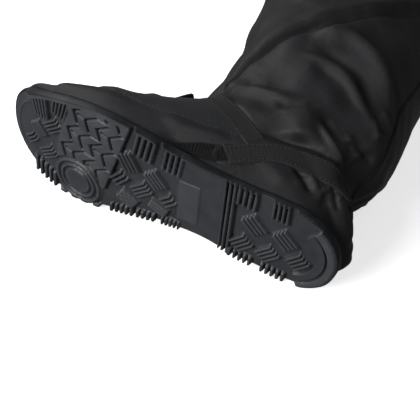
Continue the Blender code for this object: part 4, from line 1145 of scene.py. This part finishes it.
def objectNoise(tree, scale, detail=3.0):
    # cloudy pattern fixed to the piece, its scale counted per metre
    place = tree.nodes.new("ShaderNodeTexCoord").outputs["Object"]
    return addNode(tree, "TexNoise", {"Vector": place, "Scale": scale, "Detail": detail})


def surfaceAxes(tree):
    # the two directions of the piece's flat map
    place = tree.nodes.new("ShaderNodeTexCoord").outputs["UV"]
    split = tree.nodes.new("ShaderNodeSeparateXYZ")
    tree.links.new(place, split.inputs[0])
    return split.outputs[0], split.outputs[1]


def readMask(tree, name):
    # a value kept with the mesh's points
    node = tree.nodes.new("ShaderNodeAttribute")
    node.attribute_name = name
    return node.outputs["Fac"]


def threads(tree, axis, pitch):
    # rounded threads side by side: absolute sine of the way across them
    return mathNode(tree, "ABSOLUTE", mathNode(tree, "SINE", mathNode(tree, "MULTIPLY", axis, np.pi / pitch)))


def addBump(tree, shader, layers):
    # relief from several patterns, each with its height and strength
    normal = None
    for pattern, distance, strength in layers:
        inputs = {"Height": pattern, "Distance": distance, "Strength": strength}
        if normal:
            inputs["Normal"] = normal
        normal = addNode(tree, "Bump", inputs)
    tree.links.new(normal, shader.inputs["Normal"])


def rubberFinish():
    # satin moulded rubber: faint mottle, fine grain, dry worn tops on the lugs, painted shade in the slots and on the
    # side wall
    material, tree, shader = newMaterial("soleRubber", (0.04, 0.043, 0.05), 0.5, **{"Specular IOR Level": 0.45})
    mottle, grain = objectNoise(tree, 60, 5), objectNoise(tree, 2200, 2)
    top = addNode(tree, "MapRange", {0: readMask(tree, "lugTop"), 1: 0.82, 2: 1.0, 3: 0.0, 4: 0.5})
    worn = mathNode(tree, "MULTIPLY", top, mottle)
    tone = mathNode(tree, "ADD", spread(tree, mottle, 0.3, 0.6), worn)
    # painted shade: slots and side wall darkened, and their gloss lowered
    wall = mathNode(tree, "MULTIPLY", readMask(tree, "sideWall"), 0.62)
    shaded = mathNode(tree, "MAXIMUM", readMask(tree, "cavityShade"), wall)
    tone = mathNode(tree, "MULTIPLY_ADD", shaded, -0.62, tone)
    tone = mathNode(tree, "MULTIPLY_ADD", readMask(tree, "plate"), 0.36, tone)
    stops = [(0.0, (0.005, 0.0054, 0.0062)), (0.4, (0.028, 0.0302, 0.0345)), (1.0, (0.05, 0.0538, 0.0596))]
    tree.links.new(colourRamp(tree, tone, stops), shader.inputs["Base Color"])
    tree.links.new(spread(tree, shaded, 0.45, 0.1), shader.inputs["Specular IOR Level"])
    tree.links.new(mathNode(tree, "ADD", spread(tree, grain, 0.4, 0.52), worn), shader.inputs["Roughness"])
    addBump(tree, shader, [(grain, 0.0002, 0.35), (mottle, 0.0006, 0.15)])
    return material


clothWeave = {"pitch": 0.0007, "raisedHalf": 0.00028}     # from thread to thread, half width of a raised thread


def weaveRelief(tree, ripstop):
    # plain weave of fine threads both ways, with a raised thread every few millimetres
    along, around = surfaceAxes(tree)
    weave = mathNode(tree, "ADD", *(threads(tree, axis, clothWeave["pitch"]) for axis in (along, around)))
    away = [mathNode(tree, "PINGPONG", axis, ripstop / 2) for axis in (along, around)]
    lines = [mathNode(tree, "LESS_THAN", gap, clothWeave["raisedHalf"]) for gap in away]
    return weave, mathNode(tree, "MAXIMUM", *lines)


def mixColours(tree, blend, first, second, share=None):
    # two colours multiplied, or mixed by a share
    node = tree.nodes.new("ShaderNodeMix")
    node.data_type, node.blend_type = "RGBA", blend
    node.inputs[0].default_value = 1.0
    for socket, value in ((node.inputs[0], share), (node.inputs[6], first), (node.inputs[7], second)):
        if value is not None:
            tree.links.new(value, socket)
    return node.outputs[2]


def clothFinish(name, dark, light, roughness, sheen, ripstop, vampTones=None, edged=False):
    # coated weave with uneven gloss; the vamp's tones, where given, start at the line under the instep band
    material, tree, shader = newMaterial(name, light, roughness, **{
        "Sheen Weight": sheen, "Sheen Roughness": 0.4, "Specular IOR Level": 0.24})
    weave, lines = weaveRelief(tree, ripstop)
    mottle = objectNoise(tree, 38, 4)
    tone = mathNode(tree, "ADD", spread(tree, mottle, 0.15, 0.75), mathNode(tree, "MULTIPLY", lines, 0.22))
    colour = colourRamp(tree, tone, [(0.0, dark), (1.0, light)])
    if vampTones:
        behind = readMask(tree, "behind")
        share = addNode(tree, "MapRange", {0: behind, 1: -1.0, 2: 1.0, 3: 0.0, 4: 1.0})
        vamp = colourRamp(tree, tone, [(0.0, vampTones[0]), (1.0, vampTones[1])])
        edge = addNode(tree, "MapRange", {0: readMask(tree, "overSeam"), 1: -3.0, 2: 3.0, 3: 0.0, 4: 1.0})
        seam = greyRamp(tree, edge, [(0.0, 0.62), (0.36, 0.6), (0.46, 0.2), (0.54, 0.25), (0.62, 1.0)])
        vamp = mixColours(tree, "MULTIPLY", vamp, seam)
        colour = mixColours(tree, "MIX", vamp, colour, share)
    if edged:                                  # painted shade along both edges, where the rolled edge steps down at its seam
        line = greyRamp(tree, readMask(tree, "edge"), [(0.0, 1.0), (0.9, 1.0), (0.93, 0.15), (1.0, 0.15)])
        colour = mixColours(tree, "MULTIPLY", colour, line)
    tree.links.new(colour, shader.inputs["Base Color"])
    tree.links.new(spread(tree, mottle, roughness - 0.06, roughness + 0.08), shader.inputs["Roughness"])
    addBump(tree, shader, [(weave, 0.00012, 0.25), (lines, 0.00015, 0.35), (objectNoise(tree, 160, 3), 0.0012, 0.22)])
    return material


def webbingFinish(name, dark, light, ribPitch, roughness):
    # ribbed webbing: weft ribs across, fine warp along, edges a shade lighter from wear
    material, tree, shader = newMaterial(name, light, roughness, **{
        "Sheen Weight": 0.03, "Sheen Roughness": 0.5, "Specular IOR Level": 0.2})
    along, across = surfaceAxes(tree)
    ribs, warp = threads(tree, along, ribPitch), threads(tree, across, 0.0006)
    rubbed = addNode(tree, "MapRange", {0: readMask(tree, "edge"), 1: 0.78, 2: 0.95, 3: 0.0, 4: 0.4})
    uneven = spread(tree, objectNoise(tree, 240, 3), 0.35, 0.65)
    tone = mathNode(tree, "ADD", mathNode(tree, "MULTIPLY", ribs, uneven), rubbed)
    tree.links.new(colourRamp(tree, tone, [(0.0, dark), (1.0, light)]), shader.inputs["Base Color"])
    addBump(tree, shader, [(ribs, 0.0003, 0.6), (warp, 0.00012, 0.3)])
    return material


def feltFinish():
    # pressed fibres: two noises, one fine and one blotchy
    material, tree, shader = newMaterial("insoleFelt", (0.08, 0.076, 0.072), 0.95, **{"Sheen Weight": 0.2})
    fibre = objectNoise(tree, 900, 6)
    colour = colourRamp(tree, objectNoise(tree, 70, 4), [(0.2, (0.05, 0.048, 0.046)), (0.8, (0.1, 0.096, 0.09))])
    tree.links.new(colour, shader.inputs["Base Color"])
    addBump(tree, shader, [(fibre, 0.0006, 0.6)])
    return material


def threadFinish():
    # waxed sewing thread: one fine noise for tone and relief
    material, tree, shader = newMaterial("sewingThread", (0.012, 0.012, 0.0125), 0.6)
    tone = objectNoise(tree, 1500, 2)
    colour = colourRamp(tree, tone, [(0.3, (0.007, 0.007, 0.0075)), (0.7, (0.018, 0.018, 0.019))])
    tree.links.new(colour, shader.inputs["Base Color"])
    addBump(tree, shader, [(tone, 0.0002, 0.5)])
    return material


finishes = {
    "rubber": rubberFinish(),
    "cloth": clothFinish("upperNylon", (0.0052, 0.0052, 0.006), (0.011, 0.011, 0.0126), 0.53, 0.02, 0.005,
                         ((0.011, 0.0114, 0.0128), (0.0225, 0.0232, 0.026))),
    "panel": clothFinish("panelNylon", (0.0056, 0.0056, 0.0064), (0.0115, 0.0115, 0.0132), 0.53, 0.02, 0.005,
                         edged=True),
    "lining": clothFinish("liningNylon", (0.028, 0.028, 0.03), (0.05, 0.05, 0.053), 0.65, 0.1, 0.004),
    "webbing": webbingFinish("bandWebbing", (0.0045, 0.0046, 0.0045), (0.0165, 0.0167, 0.016), 0.0013, 0.78),
    "elastic": webbingFinish("ribbedElastic", (0.0012, 0.0012, 0.0014), (0.0032, 0.0032, 0.0036), 0.0022, 0.9),
    "felt": feltFinish(),
    "thread": threadFinish(),
}


# pieces, from the sole up

print("sole")
makeSole(finishes["rubber"])
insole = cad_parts["insole"]
for place in insole.material_slots:
    place.material = finishes["felt"]

print("upper")
base, closedFrom = denseUpper()
base = settleUpper(base, closedFrom)
baseSkin = (base, gridNormals(base, closedFrom))
heelStrip, heelNormal = rayStrip(baseSkin, *heelBandRays())
instepStrip, instepNormal = rayStrip(baseSkin, *instepBandRays())
cloth, inner = shapeCloth(base, closedFrom, (heelStrip, instepStrip))
clothSkin = (cloth, gridNormals(cloth, closedFrom))
makeCloth(cloth, inner, closedFrom, finishes["cloth"], finishes["lining"])

print("bands")
offset = webbingOffset(heelBand["cols"], heelBand["thick"])
stripPiece("heelBand", heelStrip, heelNormal, offset, finishes["webbing"], ("heel_band",))
over = np.linspace(-instepBand["tuck"], 180 + instepBand["tuck"], instepBand["rows"])
thin = instepBand["tuckedThick"]
tucked = thin + (1 - thin) * smoothStep(90 - np.abs(over - 90), *instepBand["tuckFade"])
offset = webbingOffset(instepBand["cols"], instepBand["thick"]) * tucked[:, None]
stripPiece("instepBand", instepStrip, instepNormal, offset, finishes["webbing"], ("instep_band",))
pleats = np.sin(np.linspace(0, 2 * np.pi * elastic["pleats"], elastic["rows"]))[:, None]
waves = pleats * np.sin(np.linspace(elastic["pleatEnd"], np.pi - elastic["pleatEnd"], elastic["cols"]))
for side, name, node in ((1.0, "elasticLateral", "elastic_lateral"), (-1.0, "elasticMedial", "elastic_medial")):
    surface, normal = rayStrip(clothSkin, *elasticRays(side))
    offset = elastic["thick"] + elastic["pleatDepth"] * waves
    stripPiece(name, surface, normal, offset, finishes["elastic"], (node,))
makeTab(clothSkin, finishes["webbing"])

print("panels and hem")
surface, normal = rayStrip(clothSkin, *backStripRays(), rounds=2)
across = np.abs(np.linspace(-1, 1, backStrip["cols"]))
offset = backStrip["thick"] + backStrip["bead"] * smoothStep(across, *backStrip["beadAt"])
offset = offset - backStrip["drop"] * smoothStep(across, *backStrip["dropAt"])
stripPiece("backStrip", surface, normal, offset, finishes["panel"], ("back_strip",))
hemPath, hemNormal = makeHem(cloth, closedFrom, finishes["panel"])

print("stitches")
inset = stitch["column"]
for name, strip, normal, look in (("heelBandStitches", heelStrip, heelNormal, heelBand),
                                  ("instepBandStitches", instepStrip, instepNormal, instepBand)):
    top = strip + normal * look["thick"] * stitch["onBand"]
    ends = slice(*look["sewn"])
    rows = [(top[ends, column], normal[ends, column]) for column in (inset, look["cols"] - 1 - inset)]
    rows += [(top[row, inset:-inset], normal[row, inset:-inset]) for row in look["boxRows"]]
    stitchRows(name, rows, finishes["thread"])
rows = []
for side in (1.0, -1.0):
    surface, normal = rayStrip(clothSkin, *seamRays(side), rounds=1)
    rows.append((surface[:, 1], normal[:, 1]))
stitchRows("vampSeamStitches", rows, finishes["thread"])
stitchRows("collarStitches", [(hemPath, hemNormal)], finishes["thread"])


# stage, light and camera

view = {
    "place": (-79.3, 615.1, -485.5),       # in the boot's frame
    "right": (-0.889, 0.078, 0.451), "down": (-0.391, -0.642, -0.659), "ahead": (0.238, -0.763, 0.601),
    "lens": 85.714, "sensor": 36, "far": 100,
}
studio = {
    "floorHalf": 4, "floorTone": 0.93, "floorRoughness": 0.95, "floorGlow": 0.62, "world": 0.14,
    "lights": {                            # place, aim, size, power
        "topLight": ((-1.5, 0.2, 1.3), (-0.03, -0.03, 0.05), 1.2, 19),
        "keyLight": ((-1.5, -0.9, 0.9), (-0.05, -0.05, 0.08), 0.8, 8),
        "fillLight": ((1.1, -0.9, 1.5), (0.0, -0.05, 0.05), 1.2, 5),
        "treadLight": ((-0.6, -1.65, 0.95), (0.0, -0.12, 0.07), 1.0, 38),
    },
}


def makeCamera():
    # the view's axes turned with the boot, made square to each other, at its place
    data = bpy.data.cameras.new("photoCamera")
    data.lens, data.sensor_width, data.clip_end = view["lens"], view["sensor"], view["far"]
    camera = bpy.data.objects.new("photoCamera", data)
    right, up, back = np.array(view["right"]), -np.array(view["down"]), -np.array(view["ahead"])
    left, _, right = np.linalg.svd(np.stack([bootTurn @ axis for axis in (right, up, back)], axis=1))
    turn = Matrix((left @ right).tolist()).to_4x4()
    camera.matrix_world = Matrix.Translation(layDown(view["place"])) @ turn
    bpy.context.scene.collection.objects.link(camera)
    bpy.context.scene.camera = camera


def makeStage():
    # a wide pale floor with a faint glow of its own, in an even white world
    half, tone = studio["floorHalf"], studio["floorTone"]
    mesh = bpy.data.meshes.new("paleFloor")
    mesh.from_pydata([(-half, -half, 0), (half, -half, 0), (half, half, 0), (-half, half, 0)], [], [(0, 1, 2, 3)])
    glow = {"Emission Color": (1, 1, 1, 1), "Emission Strength": studio["floorGlow"]}
    mesh.materials.append(newMaterial("paleFloor", (tone,) * 3, studio["floorRoughness"], **glow)[0])
    floor = bpy.data.objects.new("paleFloor", mesh)
    bpy.context.scene.collection.objects.link(floor)
    floor.visible_diffuse = floor.visible_glossy = False      # no bounce from below, as in the photo
    world = bpy.data.worlds.new("studio")
    world.use_nodes = True
    background = world.node_tree.nodes["Background"]
    background.inputs["Color"].default_value = (1, 1, 1, 1)
    background.inputs["Strength"].default_value = studio["world"]
    bpy.context.scene.world = world
    bpy.context.scene.view_settings.view_transform = "Standard"


def softLight(name, place, aim, size, power):
    # a round area light turned from its place to its aim
    data = bpy.data.lights.new(name, "AREA")
    data.shape, data.size, data.energy = "DISK", size, power
    light = bpy.data.objects.new(name, data)
    light.location = place
    light.rotation_euler = (Vector(aim) - Vector(place)).to_track_quat("-Z", "Y").to_euler()
    bpy.context.scene.collection.objects.link(light)


print("stage")
makeStage()
for name, light in studio["lights"].items():
    softLight(name, *light)
makeCamera()
